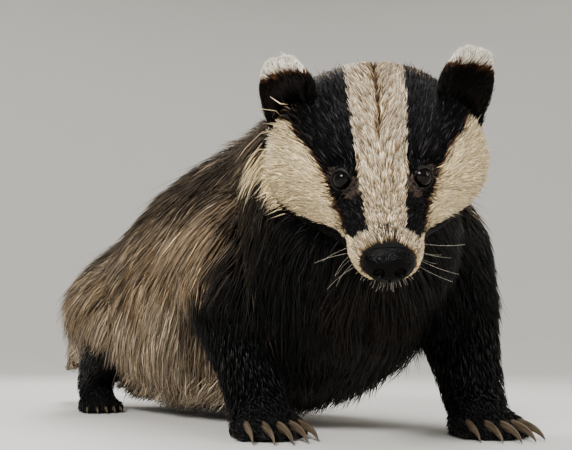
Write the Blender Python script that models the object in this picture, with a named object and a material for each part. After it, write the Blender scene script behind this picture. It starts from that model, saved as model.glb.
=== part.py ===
"""A life-size European badger that stands on all four feet, its head lowered and turned to its right.

Units are metres and +Z is up. The rump points to +Y, the muzzle to -Y and -X, and the soles are at z = 0.
The body is first one closed form, from lofts along named centre lines. It is then parted by thin cuts into
head, neck, torso, tail, legs and paws. Neck, torso and tail carry a coat of flat tapered locks over a core.
Head, legs and paws are solid out to the surface of their short fur.
"""

import functools
import math
import random

import bmesh
import bpy
import numpy as np
from mathutils import Matrix, Vector

# Gap between nodes that touch.
GAP = 0.0003

# The animal's own right side is towards -X.
SIDES = ((-1, "right"), (1, "left"))

# Neck and torso, out to the tips of the coat. Columns: centre x, y, z, half width, height up, height down.
TRUNK = (
    (-0.094, -0.150, 0.214, 0.068, 0.054, 0.062),
    (-0.077, -0.109, 0.203, 0.081, 0.076, 0.092),
    (-0.049, -0.066, 0.189, 0.103, 0.102, 0.130),
    (-0.027, -0.010, 0.174, 0.122, 0.117, 0.143),
    (-0.018, 0.073, 0.161, 0.131, 0.124, 0.146),
    (-0.018, 0.156, 0.148, 0.131, 0.121, 0.134),
    (-0.025, 0.238, 0.138, 0.119, 0.098, 0.122),
    (-0.035, 0.312, 0.131, 0.111, 0.088, 0.107),
    (-0.040, 0.372, 0.128, 0.091, 0.079, 0.086),
    (-0.041, 0.416, 0.127, 0.055, 0.051, 0.056),
)
TRUNK_ROUNDNESS = 2.25

# Tail, out to the tips of its brush. Columns: centre x, y, z, half width, height up, height down.
TAIL = (
    (-0.042, 0.386, 0.144, 0.028, 0.024, 0.024),
    (-0.044, 0.432, 0.128, 0.033, 0.027, 0.027),
    (-0.048, 0.475, 0.106, 0.035, 0.029, 0.029),
    (-0.053, 0.513, 0.084, 0.030, 0.025, 0.025),
    (-0.057, 0.546, 0.065, 0.013, 0.011, 0.011),
)

# Head, in its own frame: from the point midway between the eyes, -y to the nose and +z to the crown.
# Columns: distance behind the eyes, half width, height of the widest part, top, bottom.
HEAD = (
    (-0.055, 0.0170, -0.0190, -0.0070, -0.0325),
    (-0.0425, 0.0215, -0.0205, -0.0010, -0.0385),
    (-0.028, 0.0240, -0.0220, 0.0035, -0.0430),
    (-0.0125, 0.0295, -0.0235, 0.0095, -0.0480),
    (0.002, 0.0415, -0.0250, 0.0165, -0.0530),
    (0.019, 0.0590, -0.0250, 0.0240, -0.0590),
    (0.038, 0.0735, -0.0230, 0.0305, -0.0650),
    (0.058, 0.0790, -0.0190, 0.0355, -0.0690),
    (0.080, 0.0760, -0.0130, 0.0390, -0.0660),
    (0.104, 0.0660, -0.0090, 0.0380, -0.0560),
    (0.122, 0.0420, -0.0080, 0.0240, -0.0380),
)
HEAD_AT = Vector((-0.127, -0.185, 0.162))
HEAD_PITCH = 51.0
HEAD_YAW = -43.6
HEAD_END = ((0.058, -0.076), (0.084, 0.000), (0.100, 0.036), (0.108, 0.090))

# Eyes, ears, nose and mouth, in the head's frame.
EYE_RADIUS = 0.0068
EYE_AT = Vector((0.0232, 0.0022, 0.0004))
EYE_GAZE = Vector((0.62, -0.72, 0.31)).normalized()
EYE_OPENING = (0.0054, 0.0047)
LID_THICKNESS = 0.0012
EAR_BASE = Vector((0.058, 0.066, 0.010))
EAR_TIP = Vector((0.063, 0.086, 0.046))
EAR_OPENS = Vector((0.38, -0.88, 0.10))
EAR_HALF_WIDTH = 0.0215
EAR_CUP = 0.0125
EAR_THICKNESS = 0.0050
EAR_SQUARENESS = 2.5
EAR_LEAN = 0.004
NOSE_AT = Vector((0.0, -0.0570, -0.0168))
NOSE_HALF = Vector((0.0146, 0.0105, 0.0112))
NOSTRIL_AT = Vector((0.0062, -0.0670, -0.0198))
NOSTRIL_HALF = Vector((0.0030, 0.0046, 0.0027))
NOSTRIL_TILT = 24.0
NOSTRIL_TURN = 22.0
SLIT_OFFSET = Vector((0.0042, 0.0012, 0.0002))
SLIT_HALF = Vector((0.0042, 0.0030, 0.0009))
SLIT_TILT = 20.0
MOUTH_CORNER = Vector((0.0, -0.010, -0.0365))
MOUTH_FRONT = Vector((0.0, -0.060, -0.0288))
JAW_WIDTH_SHARE = 0.86
JAW_SET_BACK = 0.0022

# Legs, down to the wrist or ankle. Columns: x, y, z, half width, half depth.
RIGHT_FORELEG = (
    (-0.067, -0.024, 0.227, 0.017, 0.022),
    (-0.089, -0.015, 0.181, 0.041, 0.052),
    (-0.109, 0.002, 0.127, 0.042, 0.049),
    (-0.109, -0.004, 0.080, 0.034, 0.037),
    (-0.102, -0.013, 0.042, 0.027, 0.029),
    (-0.099, -0.018, 0.018, 0.025, 0.027),
)
LEFT_FORELEG = (
    (0.006, -0.047, 0.227, 0.017, 0.022),
    (0.049, -0.070, 0.181, 0.045, 0.054),
    (0.069, -0.074, 0.127, 0.042, 0.049),
    (0.063, -0.094, 0.080, 0.034, 0.037),
    (0.052, -0.111, 0.042, 0.027, 0.029),
    (0.049, -0.118, 0.018, 0.025, 0.027),
)
RIGHT_HINDLEG = (
    (-0.063, 0.284, 0.195, 0.018, 0.028),
    (-0.084, 0.275, 0.149, 0.048, 0.068),
    (-0.104, 0.263, 0.099, 0.043, 0.056),
    (-0.105, 0.298, 0.062, 0.030, 0.034),
    (-0.103, 0.328, 0.036, 0.023, 0.026),
    (-0.102, 0.326, 0.017, 0.022, 0.025),
)
LEFT_HINDLEG = (
    (0.002, 0.312, 0.195, 0.018, 0.028),
    (0.016, 0.307, 0.149, 0.048, 0.068),
    (0.038, 0.300, 0.099, 0.043, 0.056),
    (0.040, 0.335, 0.062, 0.030, 0.034),
    (0.038, 0.364, 0.036, 0.023, 0.026),
    (0.037, 0.362, 0.017, 0.022, 0.025),
)
LEG_ROWS = {
    "fore_right": RIGHT_FORELEG,
    "fore_left": LEFT_FORELEG,
    "hind_right": RIGHT_HINDLEG,
    "hind_left": LEFT_HINDLEG,
}
# Heights at which a leg meets the torso and its paw, and how the zone that parts it is made wider and domed.
LEG_TOP = {"fore": 0.116, "hind": 0.098}
PAW_TOP = {"fore": 0.036, "hind": 0.033}
ZONE_MARGIN = 0.012
ZONE_DOME = 0.010

# Paws: heel point, heading in degrees from -Y, and sizes of palm, toes and claws.
PAWS = {
    "fore_right": (Vector((-0.098, -0.007, 0.0)), -14.0),
    "fore_left": (Vector((0.049, -0.107, 0.0)), -28.0),
    "hind_right": (Vector((-0.102, 0.336, 0.0)), -8.0),
    "hind_left": (Vector((0.037, 0.373, 0.0)), 4.0),
}
PAW_SIZES = {
    # length to the toe tips, half width, height, toe radius, claw length, claw radius
    "fore": (0.066, 0.0265, 0.030, 0.0088, 0.026, 0.0041),
    "hind": (0.072, 0.0225, 0.028, 0.0078, 0.014, 0.0032),
}
CLAW_DROP = 0.36
CLAW_CLEARANCE = 0.0012
TOES = 5
TOE_TILT = 12.0
TOE_SPREAD = 9.0
TOE_ARCH = 0.011

# The one form before it is parted: how fine it is remeshed, how many triangles are kept on the whole of it,
# and how many once trunk and legs are made plainer than head and paws.
VOXEL = 0.0036
SMOOTH_PASSES = 6
FORM_TRIANGLES = 4600
PLAIN_TRIANGLES = 2350
HEAD_REACH = 0.075

# Faces that meet at less than these angles, in degrees, become one: on the locks, and on a core with them.
LOCK_FLAT_ANGLE = 3.0
CORE_FLAT_ANGLE = 0.3

# Depth of the coat from skin to tips at the nape, over the body and on the tail, and the core's share of it.
NAPE_DEPTH = 0.020
BODY_DEPTH = 0.034
BODY_DEPTH_FROM = 0.12
TAIL_DEPTH = 0.020
CORE_SHARE = 0.5

# Distance along the trunk's centre line where the neck meets the torso, and the same for tail and rump.
NECK_END = 0.098
TAIL_START = 0.048

# How far past the last ring of trunk or tail its coat closes in.
END_REACH = 0.062

# Locks of each node: place of the first and the last row along the centre line, number of rows, spacing
# round the body, length, half width, thickness, how far they droop down the side (radians), and seed.
LOCKS = {
    "neck": (0.022, 0.074, 2, 0.056, 0.078, 0.0270, 0.0085, 0.16, 3),
    "torso": (0.116, 0.553, 8, 0.062, 0.100, 0.0295, 0.0095, 0.20, 5),
    "tail": (0.062, 0.142, 3, 0.036, 0.062, 0.0165, 0.0065, 0.05, 9),
}
# A lock's shape. Columns: share of its length, of its half width, of its thickness, and depth below the tips.
LOCK_PROFILE = (
    (0.00, 0.74, 0.85, 0.80),
    (0.27, 1.00, 1.00, 0.40),
    (0.52, 0.84, 0.85, 0.17),
    (0.77, 0.48, 0.60, 0.04),
)
LOCK_STAGGER = 0.0024
LOCK_SWAY = 0.10
LOCK_TIP_LIFT = 0.0040
LOCK_ROOM = 0.0008

COLOURS = {
    "white_face": (0.62, 0.55, 0.45),
    "black": (0.012, 0.011, 0.011),
    "grey": (0.20, 0.17, 0.145),
    "nose": (0.015, 0.013, 0.013),
    "eye": (0.006, 0.005, 0.005),
}
ROUGHNESS = {"white_face": 0.8, "black": 0.65, "grey": 0.8, "nose": 0.35, "eye": 0.06}


def clear_scene():
    for obj in list(bpy.data.objects):
        bpy.data.objects.remove(obj)


def material_of(name):
    """One Principled material for each colour of the pelt, nose and eyes."""
    found = bpy.data.materials.get(name)
    if found:
        return found
    made = bpy.data.materials.new(name)
    made.use_nodes = True
    shader = made.node_tree.nodes["Principled BSDF"]
    shader.inputs["Base Color"].default_value = (*COLOURS[name], 1.0)
    shader.inputs["Roughness"].default_value = ROUGHNESS[name]
    shader.inputs["Metallic"].default_value = 0.0
    return made


def between(rows, share):
    """A row of the table at a share of its length, on a smooth curve through the rows."""
    rows = np.asarray(rows, float)
    place = min(max(share, 0.0), 1.0) * (len(rows) - 1)
    index = min(int(place), len(rows) - 2)
    t = place - index
    before = rows[max(index - 1, 0)]
    start, end = rows[index], rows[index + 1]
    after = rows[min(index + 2, len(rows) - 1)]
    leave, arrive = (end - before) / 2, (after - start) / 2
    return (
        (2 * t**3 - 3 * t**2 + 1) * start
        + (t**3 - 2 * t**2 + t) * leave
        + (3 * t**2 - 2 * t**3) * end
        + (t**3 - t**2) * arrive
    )


def squared(value, roundness):
    """A sine or cosine made squarer, which turns an ellipse into a fuller rounded shape."""
    return math.copysign(abs(value) ** (2.0 / roundness), value)


def object_from(name, points, faces):
    mesh = bpy.data.meshes.new(name)
    mesh.from_pydata([tuple(p) for p in points], [], faces)
    mesh.update()
    obj = bpy.data.objects.new(name, mesh)
    bpy.context.collection.objects.link(obj)
    return obj


def loft(name, rings, thin_walled=False):
    """A closed mesh through rings of the same number of points.

    A fan closes each end. Where the rings are thin walls, strips from their outer to their inner half do.
    """
    count = len(rings[0])
    points = [p for ring in rings for p in ring]
    faces = []
    for level in range(len(rings) - 1):
        for i in range(count):
            a = level * count + i
            b = level * count + (i + 1) % count
            faces.append((a, b, b + count, a + count))
    for level in (0, len(rings) - 1):
        first = level * count
        if thin_walled:
            strip = range(count // 2 - 1)
            faces += [(first + i, first + i + 1, first + count - 2 - i, first + count - 1 - i) for i in strip]
            continue
        points.append(sum((Vector(p) for p in rings[level]), Vector()) / count)
        faces += [(len(points) - 1, first + i, first + (i + 1) % count) for i in range(count)]
    obj = object_from(name, points, faces)
    outward(obj)
    return obj


def outward(obj):
    """Turns every face of a closed mesh outwards."""
    made = bmesh.new()
    made.from_mesh(obj.data)
    bmesh.ops.recalc_face_normals(made, faces=made.faces)
    if made.calc_volume(signed=True) < 0:
        bmesh.ops.reverse_faces(made, faces=made.faces)
    made.to_mesh(obj.data)
    made.free()


def applied(obj):
    """Makes the object's modifiers part of its mesh."""
    bpy.context.view_layer.update()
    graph = bpy.context.evaluated_depsgraph_get()
    mesh = bpy.data.meshes.new_from_object(obj.evaluated_get(graph))
    obj.modifiers.clear()
    obj.data = mesh
    return obj


def boolean(obj, other, operation, solver="EXACT"):
    """Joins, cuts or trims obj by another closed object, or by a collection of them."""
    modifier = obj.modifiers.new(operation.lower(), "BOOLEAN")
    modifier.operation = operation
    modifier.solver = solver
    if isinstance(other, bpy.types.Collection):
        modifier.operand_type = "COLLECTION"
        modifier.collection = other
    else:
        modifier.object = other
    return applied(obj)


def copy_of(obj, name, swell=0.0):
    """A copy of a closed object, with its surface moved out by swell."""
    other = obj.copy()
    other.data = obj.data.copy()
    other.name = name
    bpy.context.collection.objects.link(other)
    if swell:
        modifier = other.modifiers.new("swell", "DISPLACE")
        modifier.mid_level = 0.0
        modifier.strength = swell
        applied(other)
    return other


def removed(*objects):
    for obj in objects:
        bpy.data.objects.remove(obj)


def keep_largest(obj):
    """Keeps the closed surface that holds the most, and drops loose scraps."""
    made = bmesh.new()
    made.from_mesh(obj.data)
    waiting = set(made.faces)
    islands = []
    while waiting:
        stack = [waiting.pop()]
        island = set(stack)
        while stack:
            for edge in stack.pop().edges:
                for face in edge.link_faces:
                    if face in waiting:
                        waiting.discard(face)
                        island.add(face)
                        stack.append(face)
        islands.append(island)

    def reach(island):
        corners = np.array([v.co for f in island for v in f.verts])
        return float(np.prod(np.ptp(corners, axis=0)))

    largest = max(islands, key=reach)
    spare = [f for island in islands if island is not largest for f in island]
    bmesh.ops.delete(made, geom=spare, context="FACES")
    made.to_mesh(obj.data)
    made.free()
    return obj


def part_off(body, zone, name):
    """Takes the part of body inside a closed zone as its own object, a thin gap away from the rest."""
    piece = copy_of(body, name)
    boolean(piece, zone, "INTERSECT")
    wider = copy_of(zone, "wider_zone", GAP)
    boolean(body, wider, "DIFFERENCE")
    removed(zone, wider)
    keep_largest(piece)
    keep_largest(body)
    return piece


@functools.lru_cache
def lengths_of(rows):
    """Distances along a centre line, and the share of the table at each."""
    shares = np.linspace(0, 1, 121)
    points = np.array([between(rows, share)[:3] for share in shares])
    steps = np.linalg.norm(np.diff(points, axis=0), axis=1)
    return np.concatenate([[0.0], np.cumsum(steps)]), shares


def share_at(rows, distance):
    lengths, shares = lengths_of(rows)
    return float(np.interp(distance, lengths, shares))


def coat_depth(rows, share):
    """How deep the coat is from tips to skin, at a share of the trunk's or the tail's table."""
    if rows is TAIL:
        return TAIL_DEPTH
    distance = float(np.interp(share, lengths_of(rows)[1], lengths_of(rows)[0]))
    return float(np.interp(distance, (0.0, BODY_DEPTH_FROM), (NAPE_DEPTH, BODY_DEPTH)))


def trunk_frame(rows, share):
    """Centre, side, up and along directions of a centre line, and the row of sizes there."""
    step = 0.004
    row = between(rows, share)
    ahead = Vector(between(rows, share + step)[:3]) - Vector(between(rows, share - step)[:3])
    along = ahead.normalized()
    side = along.cross(Vector((0, 0, 1))).normalized()
    up = side.cross(along).normalized()
    return Vector(row[:3]), side, up, along, row


def trunk_point(rows, share, angle, inside=0.0):
    """A point on the trunk or tail: angle 0 is the back, and a right angle is the animal's right side."""
    centre, side, up, _, row = trunk_frame(rows, share)
    across = squared(math.sin(angle), TRUNK_ROUNDNESS) * max(row[3] - inside, 0.002)
    rise = squared(math.cos(angle), TRUNK_ROUNDNESS)
    rise *= max((row[4] if rise > 0 else row[5]) - inside, 0.002)
    return centre - side * across + up * rise


def coat_point(rows, distance, angle, inside):
    """The same by distance along the centre line. Past the last ring the coat closes in over the end."""
    total = lengths_of(rows)[0][-1]
    point = trunk_point(rows, share_at(rows, distance), angle, inside)
    if distance > total:
        centre, _, _, along, _ = trunk_frame(rows, 1.0)
        beyond = distance - total
        closing = max(0.02, 1 - (beyond / END_REACH) ** 2) ** 0.5
        point = centre + (point - centre) * closing + along * beyond
    return point


def trunk_loft(name, rows, levels, around=28):
    """The core of trunk or tail, the coat's outer shape drawn in by the core's depth, with rounded ends."""
    rings = []
    for level in range(levels):
        share = level / (levels - 1)
        inside = coat_depth(rows, share) * (1 - CORE_SHARE)
        rings.append([trunk_point(rows, share, 2 * math.pi * i / around, inside) for i in range(around)])
    for level in (0, levels - 1):
        middle = sum(rings[level], Vector()) / around
        along = trunk_frame(rows, level / (levels - 1))[3] * (0.35 * (rings[level][0] - middle).length)
        shifted = middle + (along if level else -along)
        rings.insert(len(rings) if level else 0, [shifted + (p - middle) * 0.55 for p in rings[level]])
    return loft(name, rings)


def lock(rows, distance, angle, sizes, sway, rise, grow=0.0):
    """A flat tapered lock that leaves the core, lies back along the body and ends in a point at the tips.

    grow makes it that much larger all round, for a cutter that gives a neighbour's locks their room.
    """
    length, half_width, thickness, droop = sizes

    def centre_line(share, below):
        turned = angle + droop * math.sin(angle) * share + sway * share**2
        place = distance + length * share
        inside = coat_depth(rows, share_at(rows, place)) * below - rise
        return coat_point(rows, place, turned, inside)

    def outward_at(share, below):
        turned = angle + droop * math.sin(angle) * share
        place = distance + length * share
        inside = coat_depth(rows, share_at(rows, place)) * below

        def direction(on, by):
            ahead = coat_point(rows, place + on, turned + by, inside)
            return ahead - coat_point(rows, place - on, turned - by, inside)

        return direction(0.002, 0.0).cross(direction(0.0, 0.03)).normalized()

    rings = []
    for share, width, thick, below in LOCK_PROFILE:
        middle = centre_line(share, below)
        ahead = (centre_line(share + 0.05, below) - centre_line(share - 0.05, below)).normalized()
        normal = outward_at(share, below)
        normal = (normal - ahead * normal.dot(ahead)).normalized()
        side = ahead.cross(normal) * (half_width * width + grow)
        lift = normal * (thickness / 2 * thick + grow)
        if not rings:
            middle = middle - ahead * grow
        rings.append([middle + side, middle + lift, middle - side, middle - lift])
    tip = centre_line(1.0, -LOCK_TIP_LIFT / coat_depth(rows, share_at(rows, distance + length)))
    tip += (tip - sum(rings[-1], Vector()) / 4).normalized() * grow * 3
    points = [p for ring in rings for p in ring] + [tip]
    faces = [(3, 2, 1, 0)]
    for level in range(len(rings) - 1):
        for i in range(4):
            a, b = level * 4 + i, level * 4 + (i + 1) % 4
            faces += [(a, b, b + 4), (a, b + 4, a + 4)]
    last = (len(rings) - 1) * 4
    faces += [(last + i, last + (i + 1) % 4, len(points) - 1) for i in range(4)]
    obj = object_from("lock", points, faces)
    outward(obj)
    return obj


def lock_places(rows, node):
    """Root, angle, sizes, sway and rise of each lock of a node, in rows whose locks lie like bricks."""
    first, last, count, spacing, length, half_width, thickness, droop, seed = LOCKS[node]
    chance = random.Random(seed)
    for row in range(count):
        distance = first + (last - first) * row / (count - 1)
        angles = np.linspace(0, 2 * math.pi, 73)
        ring = np.array([coat_point(rows, distance, a, 0.0) for a in angles])
        girth = np.concatenate([[0.0], np.cumsum(np.linalg.norm(np.diff(ring, axis=0), axis=1))])
        locks = max(4, 2 * round(girth[-1] / spacing / 2))
        for index in range(locks):
            at = (index + 0.5 * (row % 2) + chance.uniform(-0.12, 0.12)) / locks % 1.0
            angle = float(np.interp(at * girth[-1], girth, angles))
            size = chance.uniform(0.90, 1.10)
            sizes = (length * size, half_width * chance.uniform(0.92, 1.06), thickness, droop)
            root = distance + chance.uniform(-0.005, 0.005)
            rise = LOCK_STAGGER * (index % 2 - 0.5)
            yield root, angle, sizes, chance.uniform(-LOCK_SWAY, LOCK_SWAY), rise


def lock_coat(rows, node, grow=0.0):
    """All the locks of a node as one closed mesh object."""
    pieces = bpy.data.collections.new(f"locks_{node}")
    bpy.context.scene.collection.children.link(pieces)
    for place in lock_places(rows, node):
        piece = lock(rows, *place, grow=grow)
        bpy.context.collection.objects.unlink(piece)
        pieces.objects.link(piece)
    coat = pieces.objects[0]
    pieces.objects.unlink(coat)
    bpy.context.collection.objects.link(coat)
    boolean(coat, pieces, "UNION", "MANIFOLD")
    removed(*list(pieces.objects))
    bpy.data.collections.remove(pieces)
    return coat


def with_coat(core, rows, node, neighbours):
    """Joins a node's locks to its core, cut clear of its neighbours."""
    coat = merged_flats(lock_coat(rows, node), LOCK_FLAT_ANGLE)
    for neighbour in neighbours:
        boolean(coat, neighbour, "DIFFERENCE", "MANIFOLD")
    boolean(core, coat, "UNION", "MANIFOLD")
    removed(coat, *neighbours)
    keep_largest(core)
    return merged_flats(core, CORE_FLAT_ANGLE)


def merged_flats(obj, degrees):
    """Merges neighbouring faces that are nearly in one plane, and splits the rest into triangles again."""
    made = bmesh.new()
    made.from_mesh(obj.data)
    limit = math.radians(degrees)
    bmesh.ops.dissolve_limit(made, angle_limit=limit, verts=made.verts, edges=made.edges)
    bmesh.ops.triangulate(made, faces=made.faces)
    made.to_mesh(obj.data)
    made.free()
    return obj


def room_for(obj):
    """A slightly larger copy, to cut a neighbour's locks clear of it."""
    return copy_of(obj, "room", LOCK_ROOM)


def head_matrix():
    return Matrix.Translation(HEAD_AT) @ tilted("Z", HEAD_YAW) @ tilted("X", HEAD_PITCH)


def head_point(share, angle):
    """A point of the head in its own frame. Its top is narrower than its cheeks."""
    back, half_width, widest, top, bottom = between(HEAD, share)
    upper = math.cos(angle) > 0
    across = half_width * squared(math.sin(angle), 1.85 if upper else 2.1)
    rise = squared(math.cos(angle), 1.85 if upper else 2.1)
    rise *= (top - widest) if upper else (widest - bottom)
    return Vector((across, back, widest + rise))


def head_loft():
    levels, around = 34, 32
    rings = [
        [head_point(level / (levels - 1), 2 * math.pi * i / around) for i in range(around)]
        for level in range(levels)
    ]
    obj = loft("head_form", rings)
    obj.data.transform(head_matrix())
    return obj


def oval(x, y, z, half_width, half_depth, around):
    """A level ring of points."""
    turns = [2 * math.pi * i / around for i in range(around)]
    return [Vector((x + half_width * math.cos(a), y + half_depth * math.sin(a), z)) for a in turns]


def leg_loft(name, rows):
    levels, around = 16, 18
    return loft(name, [oval(*between(rows, level / (levels - 1)), around) for level in range(levels)])


def ball(name, centre, half, segments=12, rings=8, turn=None):
    """A closed ellipsoid."""
    mesh = bpy.data.meshes.new(name)
    made = bmesh.new()
    bmesh.ops.create_uvsphere(made, u_segments=segments, v_segments=rings, radius=1.0)
    place = Matrix.Translation(centre) @ (turn or Matrix.Identity(4)) @ Matrix.Diagonal((*half, 1.0))
    bmesh.ops.transform(made, matrix=place, verts=made.verts)
    made.to_mesh(mesh)
    made.free()
    obj = bpy.data.objects.new(name, mesh)
    bpy.context.collection.objects.link(obj)
    return obj


def block(name, centre, half, turn=None):
    """A closed box, for the zones that part the body."""
    mesh = bpy.data.meshes.new(name)
    made = bmesh.new()
    bmesh.ops.create_cube(made, size=2.0)
    place = Matrix.Translation(centre) @ (turn or Matrix.Identity(4)) @ Matrix.Diagonal((*half, 1.0))
    bmesh.ops.transform(made, matrix=place, verts=made.verts)
    made.to_mesh(mesh)
    made.free()
    obj = bpy.data.objects.new(name, mesh)
    bpy.context.collection.objects.link(obj)
    return obj


def tilted(axis, degrees):
    return Matrix.Rotation(math.radians(degrees), 4, axis)


def paw_matrix(name):
    heel, heading = PAWS[name]
    return Matrix.Translation(heel) @ tilted("Z", heading)


def toe_row(kind):
    """For each toe: its place across the paw, how far forward its pad's centre is, and its heading."""
    length, half_width, _, toe_radius, _, _ = PAW_SIZES[kind]
    for toe in range(TOES):
        across = 2 * toe / (TOES - 1) - 1
        forward = length - toe_radius - TOE_ARCH * across**2
        yield across * (half_width - toe_radius * 0.62), -forward, math.radians(TOE_SPREAD * across)


def paw_forms(name):
    """Palm and toes of one paw, before they are joined to the body's form."""
    kind = name.split("_")[0]
    length, half_width, height, toe_radius, _, _ = PAW_SIZES[kind]
    palm_half = Vector((half_width, length * 0.42, height * 0.80))
    forms = [ball("palm", Vector((0, -length * 0.40, height * 0.22)), palm_half, 16, 10)]
    for x, y, heading in toe_row(kind):
        half = Vector((toe_radius * 0.92, toe_radius * 1.9, toe_radius * 1.05))
        turn = Matrix.Rotation(heading, 4, "Z") @ tilted("X", TOE_TILT)
        forms.append(ball("toe", Vector((x, y + toe_radius * 0.9, toe_radius * 0.85)), half, 10, 8, turn))
    for form in forms:
        form.data.transform(paw_matrix(name))
    return forms


def joined(name, objects):
    """Puts several meshes into one object, before a remesh makes them one skin."""
    made = bmesh.new()
    for obj in objects:
        made.from_mesh(obj.data)
    mesh = bpy.data.meshes.new(name)
    made.to_mesh(mesh)
    made.free()
    removed(*objects)
    obj = bpy.data.objects.new(name, mesh)
    bpy.context.collection.objects.link(obj)
    return obj


def thinned(obj, triangles, chosen):
    """Leaves about that many triangles, all of them taken from where chosen(point) is true."""
    group = obj.vertex_groups.new(name="chosen")
    group.add([v.index for v in obj.data.vertices if chosen(v.co)], 1.0, "REPLACE")
    faces = sum(len(p.vertices) - 2 for p in obj.data.polygons)
    fewer = obj.modifiers.new("fewer", "DECIMATE")
    fewer.vertex_group = group.name
    fewer.ratio = triangles / faces
    applied(obj)
    obj.vertex_groups.clear()


def body_form():
    """The whole body as one closed form: full size where the fur is short, and the core where locks grow."""
    forms = [
        trunk_loft("trunk", TRUNK, 40),
        trunk_loft("tail_core", TAIL, 12, 16),
        head_loft(),
    ]
    for word, rows in LEG_ROWS.items():
        forms += [leg_loft(word, rows), *paw_forms(word)]
    body = joined("torso", forms)
    remesh = body.modifiers.new("one skin", "REMESH")
    remesh.mode = "VOXEL"
    remesh.voxel_size = VOXEL
    applied(body)
    smooth = body.modifiers.new("smooth", "SMOOTH")
    smooth.factor = 0.5
    smooth.iterations = SMOOTH_PASSES
    applied(body)
    thinned(body, FORM_TRIANGLES, lambda at: True)
    to_local = head_matrix().inverted()
    low = max(PAW_TOP.values())
    thinned(body, PLAIN_TRIANGLES, lambda at: at.z > low and (to_local @ at).y > HEAD_REACH)
    floor = block("floor", Vector((0, 0.2, -0.05)), Vector((0.5, 0.8, 0.05)))
    boolean(body, floor, "DIFFERENCE")
    removed(floor)
    return keep_largest(body)


def leg_zone(rows, top, kind):
    """A closed zone round one leg and its paw, with a domed top inside the torso."""
    levels, around = 12, 20
    margin = ZONE_MARGIN
    share_top = next(level / 100 for level in range(101) if between(rows, level / 100)[2] <= top)
    rings = []
    for level in range(levels):
        down = level / (levels - 1)
        x, y, z, half_width, half_depth = between(rows, share_top + (1 - share_top) * down)
        room = margin * (0.2 + down)
        rings.append(oval(x, y, z, half_width + room, half_depth + room, around))
    crown_centre = sum(rings[0], Vector()) / around
    crown = [crown_centre + (p - crown_centre) * 0.6 + Vector((0, 0, ZONE_DOME)) for p in rings[0]]
    x, y, _, _, _ = between(rows, 1.0)
    reach, half_width = PAW_SIZES[kind][:2]
    paw = (x, y - reach * 0.25)
    paw_half = (half_width + 0.020, reach + margin)
    ankle = oval(*paw, PAW_TOP[kind], *paw_half, around)
    foot = oval(*paw, -0.010, *paw_half, around)
    rings = [ring for ring in rings if ring[0].z > PAW_TOP[kind] + 0.004]
    return loft("leg_zone", [crown, *rings, ankle, foot])


def head_zone():
    """What belongs to the head, as a prism across its own frame: the throat under it stays with the neck."""
    outline = ((-0.10, 0.090), (-0.10, -0.076), *HEAD_END)
    rings = [[Vector((x, y, z)) for y, z in outline] for x in (-0.12, 0.12)]
    return to_head(loft("head_zone", rings))


def cross_zone(rows, distance, reach, name):
    """A box across a centre line, which starts at that distance along it and covers what lies beyond."""
    centre, _, _, along, _ = trunk_frame(rows, share_at(rows, distance))
    turn = along.to_track_quat("Y", "Z").to_matrix().to_4x4()
    return block(name, centre + along * reach, Vector((0.16, abs(reach), 0.16)), turn)


def smooth_shaded(obj, degrees=38.0):
    obj.data.shade_smooth()
    obj.data.set_sharp_from_angle(angle=math.radians(degrees))


def finished(obj, name, material):
    obj.name = name
    obj.data.name = name
    obj.data.materials.clear()
    obj.data.materials.append(material_of(material))
    smooth_shaded(obj)
    return obj


def to_head(obj):
    obj.data.transform(head_matrix())
    return obj


def mirrored(vector, side):
    return Vector((vector.x * side, vector.y, vector.z))


def almond(name, side):
    """The opening between the lids, as a cutter along the gaze."""
    gaze = mirrored(EYE_GAZE, side)
    turn = gaze.to_track_quat("Z", "Y").to_matrix()
    around = 12
    rings = []
    for reach, widen in ((0.001, 0.55), (0.0165, 1.5)):
        ring = []
        for i in range(around):
            a = 2 * math.pi * i / around
            across = EYE_OPENING[0] * widen * math.cos(a)
            rise = EYE_OPENING[1] * widen * squared(math.sin(a), 1.7)
            ring.append(mirrored(EYE_AT, side) + turn @ Vector((across, rise, reach)))
        rings.append(ring)
    return to_head(loft(name, rings))


def eye_and_lids(head, side, word):
    """One eyeball in its socket, and the lids that stand round it on the head."""
    centre = mirrored(EYE_AT, side)
    lid_half = EYE_RADIUS + LID_THICKNESS
    lids = to_head(ball("lids", centre, Vector((lid_half,) * 3), 14, 10))
    boolean(head, lids, "UNION")
    opening = almond("opening", side)
    boolean(head, opening, "DIFFERENCE")
    socket_half = EYE_RADIUS + GAP
    socket = to_head(ball("socket", centre, Vector((socket_half,) * 3), 12, 8))
    boolean(head, socket, "DIFFERENCE")
    removed(lids, opening, socket)
    eye = to_head(ball("eye", centre, Vector((EYE_RADIUS,) * 3), 12, 8))
    return finished(eye, f"eye_{word}", "eye")


def nose_pad(head):
    """The bare nose pad with its two nostrils, set in the front of the muzzle."""
    pad = ball("pad", NOSE_AT, NOSE_HALF, 14, 9)
    for vertex in pad.data.vertices:
        offset = vertex.co - NOSE_AT
        offset.z *= 1.0 - 0.22 * max(0.0, offset.x**2 / NOSE_HALF.x**2) * (offset.z < 0)
        offset.x *= 1.0 + 0.10 * offset.z / NOSE_HALF.z
        vertex.co = NOSE_AT + offset
    to_head(pad)
    room = copy_of(pad, "room", GAP)
    boolean(head, room, "DIFFERENCE")
    removed(room)
    for side in (-1, 1):
        turn = tilted("Y", NOSTRIL_TILT * side) @ tilted("Z", NOSTRIL_TURN * side)
        hole = to_head(ball("hole", mirrored(NOSTRIL_AT, side), NOSTRIL_HALF, 9, 7, turn))
        slit_at = mirrored(NOSTRIL_AT + SLIT_OFFSET, side)
        slit = to_head(ball("slit", slit_at, SLIT_HALF, 8, 6, tilted("Y", -SLIT_TILT * side)))
        for cutter in (hole, slit):
            boolean(pad, cutter, "DIFFERENCE")
            removed(cutter)
    return finished(keep_largest(pad), "nose", "nose")


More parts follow.
